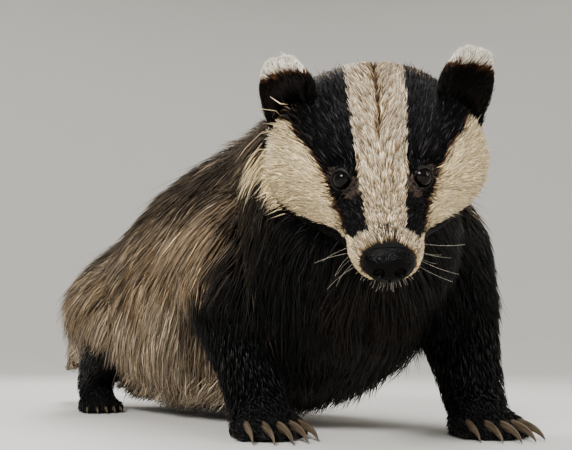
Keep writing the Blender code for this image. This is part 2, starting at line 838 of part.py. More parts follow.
def lower_jaw(head):
    """The chin below the line of the mouth, a little narrower than the lips above it."""
    line = MOUTH_FRONT - MOUTH_CORNER
    tilt = math.atan2(line.z, -line.y)
    half = Vector((0.045, line.length / 2 + 0.008, 0.020))
    turn = Matrix.Rotation(-tilt, 4, "X")
    middle = (MOUTH_FRONT + MOUTH_CORNER) / 2 + Vector((0, -0.008, 0))
    zone = to_head(block("jaw_zone", middle - turn.to_3x3() @ Vector((0, 0, half.z)), half, turn))
    jaw = part_off(head, zone, "lower_jaw")
    to_local = head_matrix().inverted()
    for vertex in jaw.data.vertices:
        local = to_local @ vertex.co
        local.x *= JAW_WIDTH_SHARE
        local -= line.normalized() * JAW_SET_BACK * max(0.0, -local.y - 0.03) / 0.03
        vertex.co = head_matrix() @ local
    return finished(jaw, "lower_jaw", "white_face")


def ear(head_room, side, word):
    """A rounded ear with a deep cup that opens forwards and outwards."""
    base, tip = mirrored(EAR_BASE, side), mirrored(EAR_TIP, side)
    rise = tip - base
    height = rise.length
    up = rise.normalized()
    opens = mirrored(EAR_OPENS, side)
    opens = (opens - up * opens.dot(up)).normalized()
    across = up.cross(opens)
    levels, steps = 7, 8

    def shell(thick, level, step):
        """A point of the outer face (thick 0) or of the cup's inner face."""
        share = math.sin(math.pi / 2 * level / (levels - 1))
        turn = math.pi * (step / (steps - 1) - 0.5)
        shape = (1 - share**EAR_SQUARENESS) ** (1 / EAR_SQUARENESS)
        half = EAR_HALF_WIDTH * (0.80 + 0.20 * math.sin(math.pi * share)) * max(shape, 0.30) - thick * 0.5
        deep = EAR_CUP * (1.0 - 0.55 * share) * max(shape, 0.35)
        forward = thick + EAR_LEAN * share**2 - deep * math.cos(turn)
        higher = (height - thick * 0.6) * share
        return base + up * higher + across * (half * math.sin(turn)) + opens * forward

    outer = [[shell(0.0, level, step) for step in range(steps)] for level in range(levels)]
    inner = [[shell(EAR_THICKNESS, level, step) for step in range(steps)] for level in range(levels)]
    rings = []
    for level in range(levels):
        rings.append([*outer[level], *reversed(inner[level])])
    root = [p - up * 0.012 for p in rings[0]]
    obj = to_head(loft("ear", [root, *rings], thin_walled=True))
    boolean(obj, head_room, "DIFFERENCE")
    return finished(keep_largest(obj), f"ear_{word}", "black")


def claw(name, at, heading, length, radius):
    """A claw that curves forwards and down from a toe, as a closed tapered horn."""
    around, levels = 5, 4
    rings = []
    for level in range(levels):
        share = level / (levels - 1)
        bend = math.radians(46 * share - 12)
        forward = length * math.sin(share * 1.25) / math.sin(1.25)
        centre = Vector((0, -forward, -length * CLAW_DROP * share**2))
        size = radius * max((1 - share) ** 0.6, 0.08)
        ring = []
        for i in range(around):
            a = 2 * math.pi * i / around
            ring.append(centre + Vector((
                size * 0.62 * math.cos(a),
                -size * math.sin(a) * math.sin(bend),
                size * math.sin(a) * math.cos(bend),
            )))
        rings.append(ring)
    obj = loft(name, rings)
    obj.data.transform(Matrix.Translation(at) @ Matrix.Rotation(heading, 4, "Z"))
    return obj


def with_claws(paw, name):
    """Joins five claws to a paw."""
    kind = name.split("_")[0]
    _, _, _, toe_radius, claw_length, claw_radius = PAW_SIZES[kind]
    pieces = bpy.data.collections.new(f"claws_{name}")
    bpy.context.scene.collection.children.link(pieces)
    for x, y, heading in toe_row(kind):
        height = max(claw_length * CLAW_DROP + CLAW_CLEARANCE, toe_radius * 0.8)
        horn = claw("claw", Vector((x, y + 0.001, height)), heading, claw_length, claw_radius)
        horn.data.transform(paw_matrix(name))
        bpy.context.collection.objects.unlink(horn)
        pieces.objects.link(horn)
    boolean(paw, pieces, "UNION")
    removed(*list(pieces.objects))
    bpy.data.collections.remove(pieces)
    return keep_largest(paw)


def centre_on_floor(objects):
    """Moves the whole animal so that the middle of its bounding box is at x = 0, y = 0."""
    corners = np.array([v.co for obj in objects for v in obj.data.vertices])
    middle = (corners.min(axis=0) + corners.max(axis=0)) / 2
    for obj in objects:
        obj.data.transform(Matrix.Translation((-middle[0], -middle[1], 0.0)))


def main():
    clear_scene()
    torso = body_form()

    legs, paws = [], []
    for word, rows in LEG_ROWS.items():
        kind, side = word.split("_")
        leg = part_off(torso, leg_zone(rows, LEG_TOP[kind], kind), f"{kind}leg_{side}")
        half_height = PAW_TOP[kind] / 2 + 0.05
        low = block("paw_zone", Vector((0, 0.2, half_height - 0.10)), Vector((0.5, 0.9, half_height)))
        paw = part_off(leg, low, f"{kind}paw_{side}")
        with_claws(paw, word)
        legs.append(finished(leg, f"{kind}leg_{side}", "black"))
        paws.append(finished(paw, f"{kind}paw_{side}", "black"))

    tail = part_off(torso, cross_zone(TAIL, TAIL_START, 0.25, "tail_zone"), "tail")
    head = part_off(torso, head_zone(), "head")
    neck = part_off(torso, cross_zone(TRUNK, NECK_END, -0.2, "neck_zone"), "neck")

    for side, word in SIDES:
        eye_and_lids(head, side, word)
    nose_pad(head)
    lower_jaw(head)
    keep_largest(head)
    room = copy_of(head, "head_room", GAP)
    for side, word in SIDES:
        ear(room, side, word)
    removed(room)

    around = [room_for(obj) for obj in (*legs, *paws, tail)]
    around += [lock_coat(TRUNK, "neck", LOCK_ROOM), lock_coat(TAIL, "tail", LOCK_ROOM)]
    forelegs = legs[:2]
    with_coat(neck, TRUNK, "neck", [room_for(obj) for obj in (head, torso, *forelegs)])
    with_coat(tail, TAIL, "tail", [room_for(torso)])
    with_coat(torso, TRUNK, "torso", around)

    finished(head, "head", "white_face")
    finished(neck, "neck", "grey")
    finished(torso, "torso", "grey")
    finished(tail, "tail", "grey")
    centre_on_floor(list(bpy.context.scene.objects))


main()
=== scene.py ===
"""The looks of a life-size European badger: one skin under a coat of mesh tufts, with eyes, lids, nose, claws
and whiskers of their own.

Units are metres. Shapes are made in the animal's own frame, where the rump points to +Y, and placed() then
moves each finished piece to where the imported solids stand.
"""

import functools
import math

import bmesh
import bpy
import numpy as np
from mathutils import Matrix, Vector
from mathutils.bvhtree import BVHTree
from mathutils.kdtree import KDTree


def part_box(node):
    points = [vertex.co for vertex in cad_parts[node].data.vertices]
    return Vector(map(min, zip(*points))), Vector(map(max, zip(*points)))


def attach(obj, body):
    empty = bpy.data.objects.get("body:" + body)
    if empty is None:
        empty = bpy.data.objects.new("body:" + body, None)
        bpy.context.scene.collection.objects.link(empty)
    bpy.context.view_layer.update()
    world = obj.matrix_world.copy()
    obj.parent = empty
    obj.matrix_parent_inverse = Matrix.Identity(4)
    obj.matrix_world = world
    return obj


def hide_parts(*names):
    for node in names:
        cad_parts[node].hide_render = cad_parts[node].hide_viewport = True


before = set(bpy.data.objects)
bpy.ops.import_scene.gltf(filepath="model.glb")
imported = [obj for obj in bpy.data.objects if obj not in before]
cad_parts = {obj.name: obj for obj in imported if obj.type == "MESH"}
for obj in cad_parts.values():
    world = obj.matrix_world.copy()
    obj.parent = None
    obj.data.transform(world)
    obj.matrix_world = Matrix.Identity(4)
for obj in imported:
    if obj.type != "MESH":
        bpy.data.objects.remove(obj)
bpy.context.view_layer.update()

# Trunk, out to the tips of the coat. Columns: centre x, y, z, half width, height up, height down.
TRUNK = (
    (-0.094, -0.150, 0.214, 0.068, 0.054, 0.062),
    (-0.077, -0.109, 0.203, 0.081, 0.076, 0.092),
    (-0.049, -0.066, 0.189, 0.103, 0.102, 0.130),
    (-0.027, -0.010, 0.174, 0.122, 0.117, 0.143),
    (-0.018, 0.073, 0.161, 0.131, 0.124, 0.146),
    (-0.018, 0.156, 0.148, 0.131, 0.121, 0.134),
    (-0.025, 0.238, 0.138, 0.119, 0.098, 0.122),
    (-0.035, 0.312, 0.131, 0.111, 0.088, 0.107),
    (-0.040, 0.372, 0.128, 0.091, 0.079, 0.086),
    (-0.041, 0.416, 0.127, 0.055, 0.051, 0.056),
)
TRUNK_ROUNDNESS = 2.25
TAIL = (
    (-0.042, 0.386, 0.144, 0.028, 0.024, 0.024),
    (-0.044, 0.432, 0.128, 0.033, 0.027, 0.027),
    (-0.048, 0.475, 0.106, 0.035, 0.029, 0.029),
    (-0.053, 0.513, 0.084, 0.030, 0.025, 0.025),
    (-0.057, 0.546, 0.065, 0.013, 0.011, 0.011),
)

# Head in its own frame, out to the surface of its fur: from midway between the eyes, -y to the nose and +z to
# the crown. Columns: distance behind the eyes, half width, height of the widest part, top, bottom.
HEAD = (
    (-0.055, 0.0170, -0.0190, -0.0070, -0.0325),
    (-0.0425, 0.0215, -0.0205, -0.0010, -0.0385),
    (-0.028, 0.0240, -0.0220, 0.0035, -0.0430),
    (-0.0125, 0.0295, -0.0235, 0.0095, -0.0480),
    (0.002, 0.0415, -0.0250, 0.0165, -0.0530),
    (0.019, 0.0590, -0.0250, 0.0240, -0.0590),
    (0.038, 0.0735, -0.0230, 0.0305, -0.0650),
    (0.058, 0.0790, -0.0190, 0.0355, -0.0690),
    (0.080, 0.0760, -0.0130, 0.0390, -0.0660),
    (0.104, 0.0660, -0.0090, 0.0380, -0.0560),
    (0.122, 0.0420, -0.0080, 0.0240, -0.0380),
)
HEAD_AT = Vector((-0.127, -0.185, 0.162))
HEAD_PITCH = 51.0
HEAD_YAW = -43.6
EYE_RADIUS = 0.0068
EYE_AT = Vector((0.0232, 0.0022, 0.0004))
EYE_GAZE = Vector((0.44, -0.79, 0.42)).normalized()
EYE_OPENING = (0.0065, 0.0061)
LID_RADIUS = 0.0077
LID_THICKNESS = 0.0007
# The bare rim's rows: how far outside the opening's edge, and distance from the eye's centre.
LID_RIM = (
    (-0.0003, 0.0069), (-0.0001, 0.0071), (0.0002, 0.0073),
    (0.0005, 0.0074), (0.0008, 0.0073), (0.0012, 0.0068),
)
# No hair grows nearer than this to an eye's line of gaze.
LID_BARE = 0.0067
EAR_BASE = Vector((0.058, 0.066, 0.010))
EAR_TIP = Vector((0.063, 0.086, 0.046))
EAR_OPENS = Vector((0.38, -0.88, 0.10))
EAR_HALF_WIDTH = 0.0215
EAR_CUP = 0.0125
EAR_SKIN = 0.0030
EAR_SQUARENESS = 3.6
EAR_LEAN = 0.004
EAR_RIM = 0.0070
NOSE_AT = Vector((0.0, -0.0570, -0.0168))
NOSE_HALF = Vector((0.0146, 0.0105, 0.0112))
NOSTRIL_AT = Vector((0.0062, -0.0674, -0.0160))
NOSTRIL_HALF = Vector((0.0036, 0.0048, 0.0031))
SLIT_HALF = 0.00075
MOUTH_CORNER = Vector((0.0, -0.010, -0.0365))
MOUTH_FRONT = Vector((0.0, -0.060, -0.0288))

# Legs, down to the wrist or ankle. Columns: x, y, z, half width, half depth.
LEGS = {
    "fore_right": (
        (-0.067, -0.024, 0.227, 0.017, 0.022),
        (-0.089, -0.015, 0.181, 0.041, 0.052),
        (-0.109, 0.002, 0.127, 0.042, 0.049),
        (-0.109, -0.004, 0.080, 0.034, 0.037),
        (-0.102, -0.013, 0.042, 0.027, 0.029),
        (-0.099, -0.018, 0.018, 0.025, 0.027),
    ),
    "fore_left": (
        (0.006, -0.047, 0.227, 0.017, 0.022),
        (0.049, -0.070, 0.181, 0.045, 0.054),
        (0.069, -0.074, 0.127, 0.042, 0.049),
        (0.063, -0.094, 0.080, 0.034, 0.037),
        (0.052, -0.111, 0.042, 0.027, 0.029),
        (0.049, -0.118, 0.018, 0.025, 0.027),
    ),
    "hind_right": (
        (-0.063, 0.284, 0.195, 0.018, 0.028),
        (-0.084, 0.275, 0.149, 0.048, 0.068),
        (-0.104, 0.263, 0.099, 0.043, 0.056),
        (-0.105, 0.298, 0.062, 0.030, 0.034),
        (-0.103, 0.328, 0.036, 0.023, 0.026),
        (-0.102, 0.326, 0.017, 0.022, 0.025),
    ),
    "hind_left": (
        (0.002, 0.312, 0.195, 0.018, 0.028),
        (0.016, 0.307, 0.149, 0.048, 0.068),
        (0.038, 0.300, 0.099, 0.043, 0.056),
        (0.040, 0.335, 0.062, 0.030, 0.034),
        (0.038, 0.364, 0.036, 0.023, 0.026),
        (0.037, 0.362, 0.017, 0.022, 0.025),
    ),
}
PAWS = {
    "fore_right": (Vector((-0.098, -0.007, 0.0)), -14.0),
    "fore_left": (Vector((0.049, -0.107, 0.0)), -28.0),
    "hind_right": (Vector((-0.102, 0.336, 0.0)), -8.0),
    "hind_left": (Vector((0.037, 0.373, 0.0)), 4.0),
}
PAW_SIZES = {
    # length to the toe tips, half width, height, toe radius, claw length, claw radius
    "fore": (0.066, 0.0265, 0.030, 0.0088, 0.026, 0.0041),
    "hind": (0.072, 0.0225, 0.028, 0.0078, 0.014, 0.0032),
}
TOES = 5
# How far a claw curves, in radians, and drops, as a share of its length.
CLAW_CURVE, CLAW_DROP = 1.25, 0.36
SIDES = ((-1, "right"), (1, "left"))

# How far the bare skin lies inside the surface of the fur.
NAPE_DEPTH, BODY_DEPTH, BODY_DEPTH_FROM, TAIL_DEPTH = 0.020, 0.034, 0.12, 0.020
SKIN_SHARE = 0.72
HEAD_FUR = ((-0.057, 0.0010), (-0.020, 0.0014), (0.020, 0.0035), (0.055, 0.0065), (0.122, 0.0085))
LEG_FUR, PAW_FUR = 0.0045, 0.0020

# Nothing comes nearer to the floor than this.
FLOOR_GAP = 0.0004

# Grid of the remeshed skins of body and head.
BODY_VOXEL, HEAD_VOXEL = 0.0032, 0.0014

# Camera, from the photograph's perspective: 580 of its pixels from the lens to the picture.
CAMERA_AT = Vector((-0.380, -0.414, 0.052))
CAMERA_ALONG = Vector((0.616, 0.788, 0.0)).normalized()
CAMERA_UP_DEGREES = 13.8
LENS_PIXELS, PICTURE_WIDTH, SENSOR_WIDTH = 580.0, 572.0, 36.0

# The floor from its middle outwards, as radius and height, and the lights as name, place, aim, size, watts.
FLOOR = ((2.0, 0.0), (3.0, 0.02), (3.8, 0.25), (4.3, 0.8), (4.5, 1.6), (4.5, 6.0))
LIGHTS = (
    ("key", (-1.35, -1.05, 1.10), (-0.05, -0.10, 0.15), 0.55, 44),
    ("fill", (0.6, -1.7, 0.8), (0.0, 0.0, 0.12), 0.9, 12),
    ("rim", (0.5, 1.6, 1.8), (0.0, 0.1, 0.15), 0.8, 30),
    ("overhead", (0.0, 0.5, 4.5), (0.0, 0.5, 0.0), 4.0, 150),
)

# Markings of the head, in millimetres of its own frame: half widths of the white stripe, of the black band's
# outer edge and of the dark parting, by distance behind the eyes, and the height of the cheek's lower edge.
WHITE_HALF = ((-45, 10.5), (-29, 12.2), (-9, 14.0), (16, 16.3), (48, 18.8), (86, 20.5), (125, 24))
BLACK_HALF = (
    (-42, 18.5), (-28, 23.3), (-13, 27.6), (5, 34.6), (14, 39.4),
    (30, 47.3), (41, 55.0), (62, 62), (75, 69), (110, 78),
)
PARTING_HALF = ((34, 0.4), (60, 1.0), (100, 2.2))
CHEEK_LOW = ((-45, -18), (-28, -20), (0, -31), (30, -40), (47, -38), (70, -29))

# In front of this the muzzle is pale all round.
MUZZLE_BAND = -41.0

# How high the black reaches up the thighs and the upper arms.
THIGH_DARK, ARM_DARK = 0.060, 0.075

# Where the black shoulder gives way to the grey flank, as height and place along the body.
SHOULDER_EDGE = (
    (0.02, 0.020), (0.05, 0.046), (0.075, 0.056), (0.105, 0.012),
    (0.142, -0.029), (0.177, -0.073), (0.215, -0.125),
)

# Fur by region. Columns: tufts on a square centimetre, length, height of the tips, half width, clump pull,
# random turn in degrees.
FUR = {
    "muzzle": (270, 0.0050, 0.0011, 0.00021, 0.30, 9),
    "face": (150, 0.0112, 0.0030, 0.00030, 0.50, 9),
    "cheek": (92, 0.0200, 0.0062, 0.00038, 0.40, 11),
    "ear": (150, 0.0080, 0.0020, 0.00030, 0.25, 12),
    "neck": (24, 0.0440, 0.0225, 0.00066, 0.50, 15),
    "trunk": (17, 0.0640, 0.0250, 0.00085, 0.58, 15),
    "tail": (20, 0.0560, 0.0150, 0.00090, 0.45, 10),
    "leg": (13, 0.0170, 0.0048, 0.00085, 0.35, 12),
    "paw": (20, 0.0085, 0.0022, 0.00070, 0.20, 12),
}
# How freely the long coat hangs off the flanks where it points down.
HANG = 0.85

# How hairs differ from the table, as lowest and highest share: length, height, half width and clump pull.
LENGTH_SPREAD = (0.72, 1.18)
LIFT_SPREAD = (0.45, 1.12)
WIDTH_SPREAD = (0.75, 1.25)
PULL_SPREAD = (0.5, 1.25)

# Short hair has three stations from root to tip and long hair four. By stations: triangles of a tuft, its
# width along it, hairs to a lock, share of hairs that stray from it, and how much further those stand out.
TRIANGLES = {3: 10, 4: 16}
WIDTH_PROFILE = {3: (0.75, 1.0, 0.0), 4: (0.70, 1.0, 0.75, 0.0)}
LOCK_HAIRS = {3: 7, 4: 14}
STRAY_SHARE = {3: 0.035, 4: 0.012}
STRAY_LIFT = {3: 1.55, 4: 1.25}

# The coat's pieces. Columns: region, stations.
COAT_PIECES = {
    "fur_head": ("head", 3),
    "fur_ears": ("ear", 3),
    "fur_neck": ("neck", 4),
    "fur_trunk": ("trunk", 4),
    "fur_tail": ("tail", 4),
    "fur_legs": ("leg", 3),
}
NECK_REACH = 0.11

# Width of each tuft's patch on the skin's unwrap.
PATCH_WIDTH = 0.003

MOST_COAT_TRIANGLES = 1_460_000
PIECE_TRIANGLES = 190_000

# Seeds of the random draws.
COAT_SEED, MARKING_SEED, SWIRL_SEED, WHISKER_SEED, BRISTLE_SEED = 11, 21, 31, 5, 6

COLOURS = {
    # sRGB, as root, middle and tip of a hair
    "stripe": ("2e2115", "a8926f", "fff3da"),
    "cheek": ("866a4a", "e2cb9c", "fff1cf"),
    "black": ("040404", "060505", "0a0a0b"),
    "patch": ("1a1410", "3a3029", "50443b"),
    "brown": ("140d08", "3a2417", "5a3e2a"),
    "ear_dark": ("050404", "080605", "120d0a"),
    "ear_rim": ("94846a", "e0d7c3", "faf5ea"),
    "grizzled": ("6c5d4a", "221913", "a5937b"),
    # The back's darker coat, made darker still as painted shade on the top.
    "back": ("352b22", "100b08", "655644"),
    "tan": ("8c7250", "44301f", "d2b58e"),
    # Pale tail hair, also used as painted light low on the flanks.
    "pale": ("91806a", "7f6e59", "d3c1a6"),
    "leg": ("030303", "050505", "0c0b0b"),
    # The underside's dark brown, also used as painted shadow just behind the shoulder.
    "belly_and_shade": ("17120e", "110d0a", "2a221c"),
}

# Among black hairs a few are painted brighter, as painted highlights where they catch the light: on short
# ones more than on long ones and on the legs. Among pale hairs a third are duller and browner.
GLINT_SHARE, GLINT_LIFT, LEG_GLINT_LIFT = 0.12, {3: 16.0, 4: 5.0}, 5.0
DULL_SHARE, DULL_BY = 0.32, (0.60, 0.68, 0.75)


def linear(hex_colour):
    """An sRGB hex colour as linear red, green and blue."""
    parts = [int(hex_colour[i:i + 2], 16) / 255 for i in (0, 2, 4)]
    return tuple(p / 12.92 if p <= 0.04045 else ((p + 0.055) / 1.055) ** 2.4 for p in parts)


def tilted(axis, degrees):
    return Matrix.Rotation(math.radians(degrees), 4, axis)


def mirrored(vector, side):
    return Vector((vector.x * side, vector.y, vector.z))


HEAD_MATRIX = Matrix.Translation(HEAD_AT) @ tilted("Z", HEAD_YAW) @ tilted("X", HEAD_PITCH)
HEAD_INVERSE = HEAD_MATRIX.inverted()
EYE_LOW, EYE_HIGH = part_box("eye_left")
SHIFT = (EYE_LOW + EYE_HIGH) / 2 - HEAD_MATRIX @ EYE_AT


def between(rows, share):
    """A row of the table at a share of its length, on a smooth curve through the rows."""
    rows = np.asarray(rows, float)
    place = min(max(share, 0.0), 1.0) * (len(rows) - 1)
    index = min(int(place), len(rows) - 2)
    t = place - index
    before, start = rows[max(index - 1, 0)], rows[index]
    end, after = rows[index + 1], rows[min(index + 2, len(rows) - 1)]
    leave, arrive = (end - before) / 2, (after - start) / 2
    return (
        (2 * t**3 - 3 * t**2 + 1) * start
        + (t**3 - 2 * t**2 + t) * leave
        + (3 * t**2 - 2 * t**3) * end
        + (t**3 - t**2) * arrive
    )


def squared(value, roundness):
    """A sine or cosine made squarer, which turns an ellipse into a fuller rounded shape."""
    return math.copysign(abs(value) ** (2.0 / roundness), value)


def step_between(value, low, high):
    """0 below low, 1 above high, with a smooth rise between."""
    t = np.clip((value - low) / (high - low), 0, 1)
    return t * t * (3 - 2 * t)


def unit(vectors):
    return vectors / np.maximum(np.linalg.norm(vectors, axis=-1, keepdims=True), 1e-12)


def by_table(table, value):
    rows = np.asarray(table, float)
    return np.interp(value, rows[:, 0], rows[:, 1])


def mottle(points, size, seed):
    """Smooth random patches of about that size, from -1 to 1."""
    chance = np.random.default_rng(seed)
    total = np.zeros(len(points))
    for _ in range(7):
        wave = unit(chance.normal(size=3)) * (2 * math.pi / size) * chance.uniform(0.6, 1.5)
        total += np.sin(points @ wave + chance.uniform(0, 2 * math.pi))
    return np.clip(total / 3.2, -1, 1)


def linked(name, data):
    """A new object of the scene that shows a mesh, a camera or a light."""
    obj = bpy.data.objects.new(name, data)
    bpy.context.scene.collection.objects.link(obj)
    return obj


def object_from(name, points, faces):
    mesh = bpy.data.meshes.new(name)
    mesh.from_pydata([tuple(p) for p in points], [], faces)
    mesh.update()
    return linked(name, mesh)


def object_of(name, made):
    """An object from a bmesh, which is then freed."""
    mesh = bpy.data.meshes.new(name)
    made.to_mesh(mesh)
    made.free()
    return linked(name, mesh)


def strips(levels, count):
    """Four-sided faces between rings of as many points, each ring joined to the next."""
    faces = []
    for level in range(levels - 1):
        for i in range(count):
            a, b = level * count + i, level * count + (i + 1) % count
            faces.append((a, b, b + count, a + count))
    return faces


def loft(name, rings, thin_walled=False):
    """A closed mesh through rings of the same number of points, with a fan or a strip across each end."""
    count = len(rings[0])
    points = [p for ring in rings for p in ring]
    faces = strips(len(rings), count)
    for level in (0, len(rings) - 1):
        first = level * count
        if thin_walled:
            strip = range(count // 2 - 1)
            faces += [(first + i, first + i + 1, first + count - 2 - i, first + count - 1 - i) for i in strip]
            continue
        points.append(sum((Vector(p) for p in rings[level]), Vector()) / count)
        faces += [(len(points) - 1, first + i, first + (i + 1) % count) for i in range(count)]
    return outward(object_from(name, points, faces))


def outward(obj):
    """Turns every face of a closed mesh outwards."""
    made = bmesh.new()
    made.from_mesh(obj.data)
    bmesh.ops.recalc_face_normals(made, faces=made.faces)
    if made.calc_volume(signed=True) < 0:
        bmesh.ops.reverse_faces(made, faces=made.faces)
    made.to_mesh(obj.data)
    made.free()
    return obj


def ball(name, centre, half, segments=16, rings=12, turn=None):
    made = bmesh.new()
    bmesh.ops.create_uvsphere(made, u_segments=segments, v_segments=rings, radius=1.0)
    place = Matrix.Translation(centre) @ (turn or Matrix.Identity(4)) @ Matrix.Diagonal((*half, 1.0))
    bmesh.ops.transform(made, matrix=place, verts=made.verts)
    return object_of(name, made)


def applied(obj):
    """Makes the object's modifiers part of its mesh."""
    bpy.context.view_layer.update()
    graph = bpy.context.evaluated_depsgraph_get()
    mesh = bpy.data.meshes.new_from_object(obj.evaluated_get(graph))
    obj.modifiers.clear()
    obj.data = mesh
    return obj


def boolean(obj, other, operation, solver="EXACT"):
    modifier = obj.modifiers.new(operation.lower(), "BOOLEAN")
    modifier.operation = operation
    modifier.solver = solver
    modifier.object = other
    applied(obj)
    bpy.data.objects.remove(other)
    return obj


def joined(name, objects):
    """Puts several meshes into one object."""
    made = bmesh.new()
    for obj in objects:
        made.from_mesh(obj.data)
        bpy.data.objects.remove(obj)
    return object_of(name, made)


def one_surface(obj, voxel, passes):
    """Makes overlapping closed forms one smooth closed surface."""
    remesh = obj.modifiers.new("one surface", "REMESH")
    remesh.mode = "VOXEL"
    remesh.voxel_size = voxel
    smooth = obj.modifiers.new("smooth", "SMOOTH")
    smooth.factor = 0.5
    smooth.iterations = passes
    return applied(obj)


def to_head(obj):
    obj.data.transform(HEAD_MATRIX)
    return obj


@functools.lru_cache
def lengths_of(rows):
    """Distances along a centre line, and the share of the table at each."""
    shares = np.linspace(0, 1, 121)
    points = np.array([between(rows, share)[:3] for share in shares])
    steps = np.linalg.norm(np.diff(points, axis=0), axis=1)
    return np.concatenate([[0.0], np.cumsum(steps)]), shares


def coat_depth(rows, share):
    """How deep the coat is from tips to skin, at a share of the trunk's or the tail's table."""
    if rows is TAIL:
        return TAIL_DEPTH
    distance = float(np.interp(share, lengths_of(rows)[1], lengths_of(rows)[0]))
    return float(np.interp(distance, (0.0, BODY_DEPTH_FROM), (NAPE_DEPTH, BODY_DEPTH)))


def line_frame(rows, share):
    """Centre, side, up and along directions of a centre line, and the row of sizes there."""
    step = 0.004
    row = between(rows, share)
    ahead = Vector(between(rows, share + step)[:3]) - Vector(between(rows, share - step)[:3])
    along = ahead.normalized()
    side = along.cross(Vector((0, 0, 1))).normalized()
    return Vector(row[:3]), side, side.cross(along).normalized(), along, row


def line_point(rows, share, angle, inside):
    centre, side, up, _, row = line_frame(rows, share)
    across = squared(math.sin(angle), TRUNK_ROUNDNESS) * max(row[3] - inside, 0.002)
    rise = squared(math.cos(angle), TRUNK_ROUNDNESS)
    rise *= max((row[4] if rise > 0 else row[5]) - inside, 0.002)
    return centre - side * across + up * rise


def trunk_skin(name, rows, levels, around):
    """The bare body of trunk or tail, with rounded ends."""
    rings = []
    for level in range(levels):
        share = level / (levels - 1)
        inside = coat_depth(rows, share) * SKIN_SHARE
        rings.append([line_point(rows, share, 2 * math.pi * i / around, inside) for i in range(around)])
    for level in (0, levels - 1):
        middle = sum(rings[level], Vector()) / around
        along = line_frame(rows, level / (levels - 1))[3] * (0.35 * (rings[level][0] - middle).length)
        shifted = middle + (along if level else -along)
        rings.insert(len(rings) if level else 0, [shifted + (p - middle) * 0.55 for p in rings[level]])
    return loft(name, rings)


def head_skin(inside=0.0):
    """The head without its fur, in the body's frame."""
    levels, around = 44, 48
    rings = []
    for level in range(levels):
        back, half_width, widest, top, bottom = between(HEAD, level / (levels - 1))
        fur = by_table(HEAD_FUR, back) + inside
        ring = []
        for i in range(around):
            angle = 2 * math.pi * i / around
            upper = math.cos(angle) > 0
            across = (half_width - fur) * squared(math.sin(angle), 1.85 if upper else 2.1)
            rise = squared(math.cos(angle), 1.85 if upper else 2.1)
            rise *= (top - widest - fur) if upper else (widest - bottom - fur)
            ring.append(Vector((across, back + inside * (1 - level / 20), widest + rise)))
        rings.append(ring)
    return to_head(loft("head_skin", rings))


def leg_skin(rows):
    levels, around = 24, 28
    rings = []
    for level in range(levels):
        x, y, z, half_width, half_depth = between(rows, level / (levels - 1))
        turns = [2 * math.pi * i / around for i in range(around)]
        wide, deep = half_width - LEG_FUR, half_depth - LEG_FUR
        rings.append([Vector((x + wide * math.cos(a), y + deep * math.sin(a), z)) for a in turns])
    return loft("leg", rings)


def paw_matrix(name):
    heel, heading = PAWS[name]
    return Matrix.Translation(heel) @ tilted("Z", heading)


def toe_row(kind):
    """For each toe: its place across the paw, how far forward its pad's centre is, and its heading."""
    length, half_width, _, toe_radius, _, _ = PAW_SIZES[kind]
    for toe in range(TOES):
        across = 2 * toe / (TOES - 1) - 1
        forward = length - toe_radius - 0.011 * across**2
        yield across * (half_width - toe_radius * 0.62), -forward, math.radians(9 * across)


def paw_skin(name):
    """Palm and toes of one paw without their fur, flat where it stands."""
    kind = name.split("_")[0]
    length, half_width, height, toe_radius, _, _ = PAW_SIZES[kind]
    palm_half = Vector((half_width, length * 0.42, height * 0.80)) - Vector((PAW_FUR,) * 3)
    forms = [ball("palm", Vector((0, -length * 0.40, height * 0.22)), palm_half, 24, 16)]
    for x, y, heading in toe_row(kind):
        half = Vector((toe_radius * 0.92, toe_radius * 1.9, toe_radius * 1.05)) - Vector((PAW_FUR * 0.5,) * 3)
        turn = Matrix.Rotation(heading, 4, "Z") @ tilted("X", 12)
        forms.append(ball("toe", Vector((x, y + toe_radius * 0.9, toe_radius * 0.85)), half, 16, 12, turn))
    for form in forms:
        form.data.transform(paw_matrix(name))
    return forms


def ear_frame(side):
    """Base, up, opening and across directions of an ear in the head's frame, and its height."""
    base, tip = mirrored(EAR_BASE, side), mirrored(EAR_TIP, side)
    up = (tip - base).normalized()
    opens = mirrored(EAR_OPENS, side)
    opens = (opens - up * opens.dot(up)).normalized()
    return base, up, opens, up.cross(opens), (tip - base).length


def ear_skin(side):
    """A thin rounded ear with a deep cup that opens forwards and outwards."""
    base, up, opens, across, height = ear_frame(side)
    levels, steps = 16, 19
    margin = 0.0010

    def shell(thick, level, step):
        share = math.sin(math.pi / 2 * level / (levels - 1))
        turn = math.pi * (step / (steps - 1) - 0.5)
        shape = (1 - share**EAR_SQUARENESS) ** (1 / EAR_SQUARENESS)
        half = (EAR_HALF_WIDTH - margin) * (0.80 + 0.20 * math.sin(math.pi * share)) * max(shape, 0.25)
        deep = EAR_CUP * (1.0 - 0.55 * share) * max(shape, 0.35)
        forward = thick + 0.001 + EAR_LEAN * share**2 - deep * math.cos(turn)
        higher = (height - margin - thick * 0.4) * share
        return base + up * higher + across * ((half - thick * 0.35) * math.sin(turn)) + opens * forward

    rings = []
    for level in range(levels):
        outer = [shell(0.0, level, step) for step in range(steps)]
        inner = [shell(EAR_SKIN, level, step) for step in range(steps)]
        rings.append([*outer, *reversed(inner)])
    root = [p - up * 0.012 for p in rings[0]]
    return to_head(loft("ear", [root, *rings], thin_walled=True))


def eye_turn(side):
    """The turn from the opening's own axes, x across and y up, to the head's."""
    gaze = mirrored(EYE_GAZE, side)
    across = Vector((0, 0, 1)).cross(gaze).normalized()
    return Matrix((across, gaze.cross(across), gaze)).transposed()


def opening_point(side, wider, angle):
    """A place on the almond edge of the lids, seen along the gaze."""
    inner = max(0.0, -math.cos(angle) * side) ** 4
    across = (EYE_OPENING[0] + wider) * math.cos(angle) * (1 + 0.20 * inner)
    rise = (EYE_OPENING[1] + wider) * squared(math.sin(angle), 1.8) - 0.0010 * inner
    return across, rise


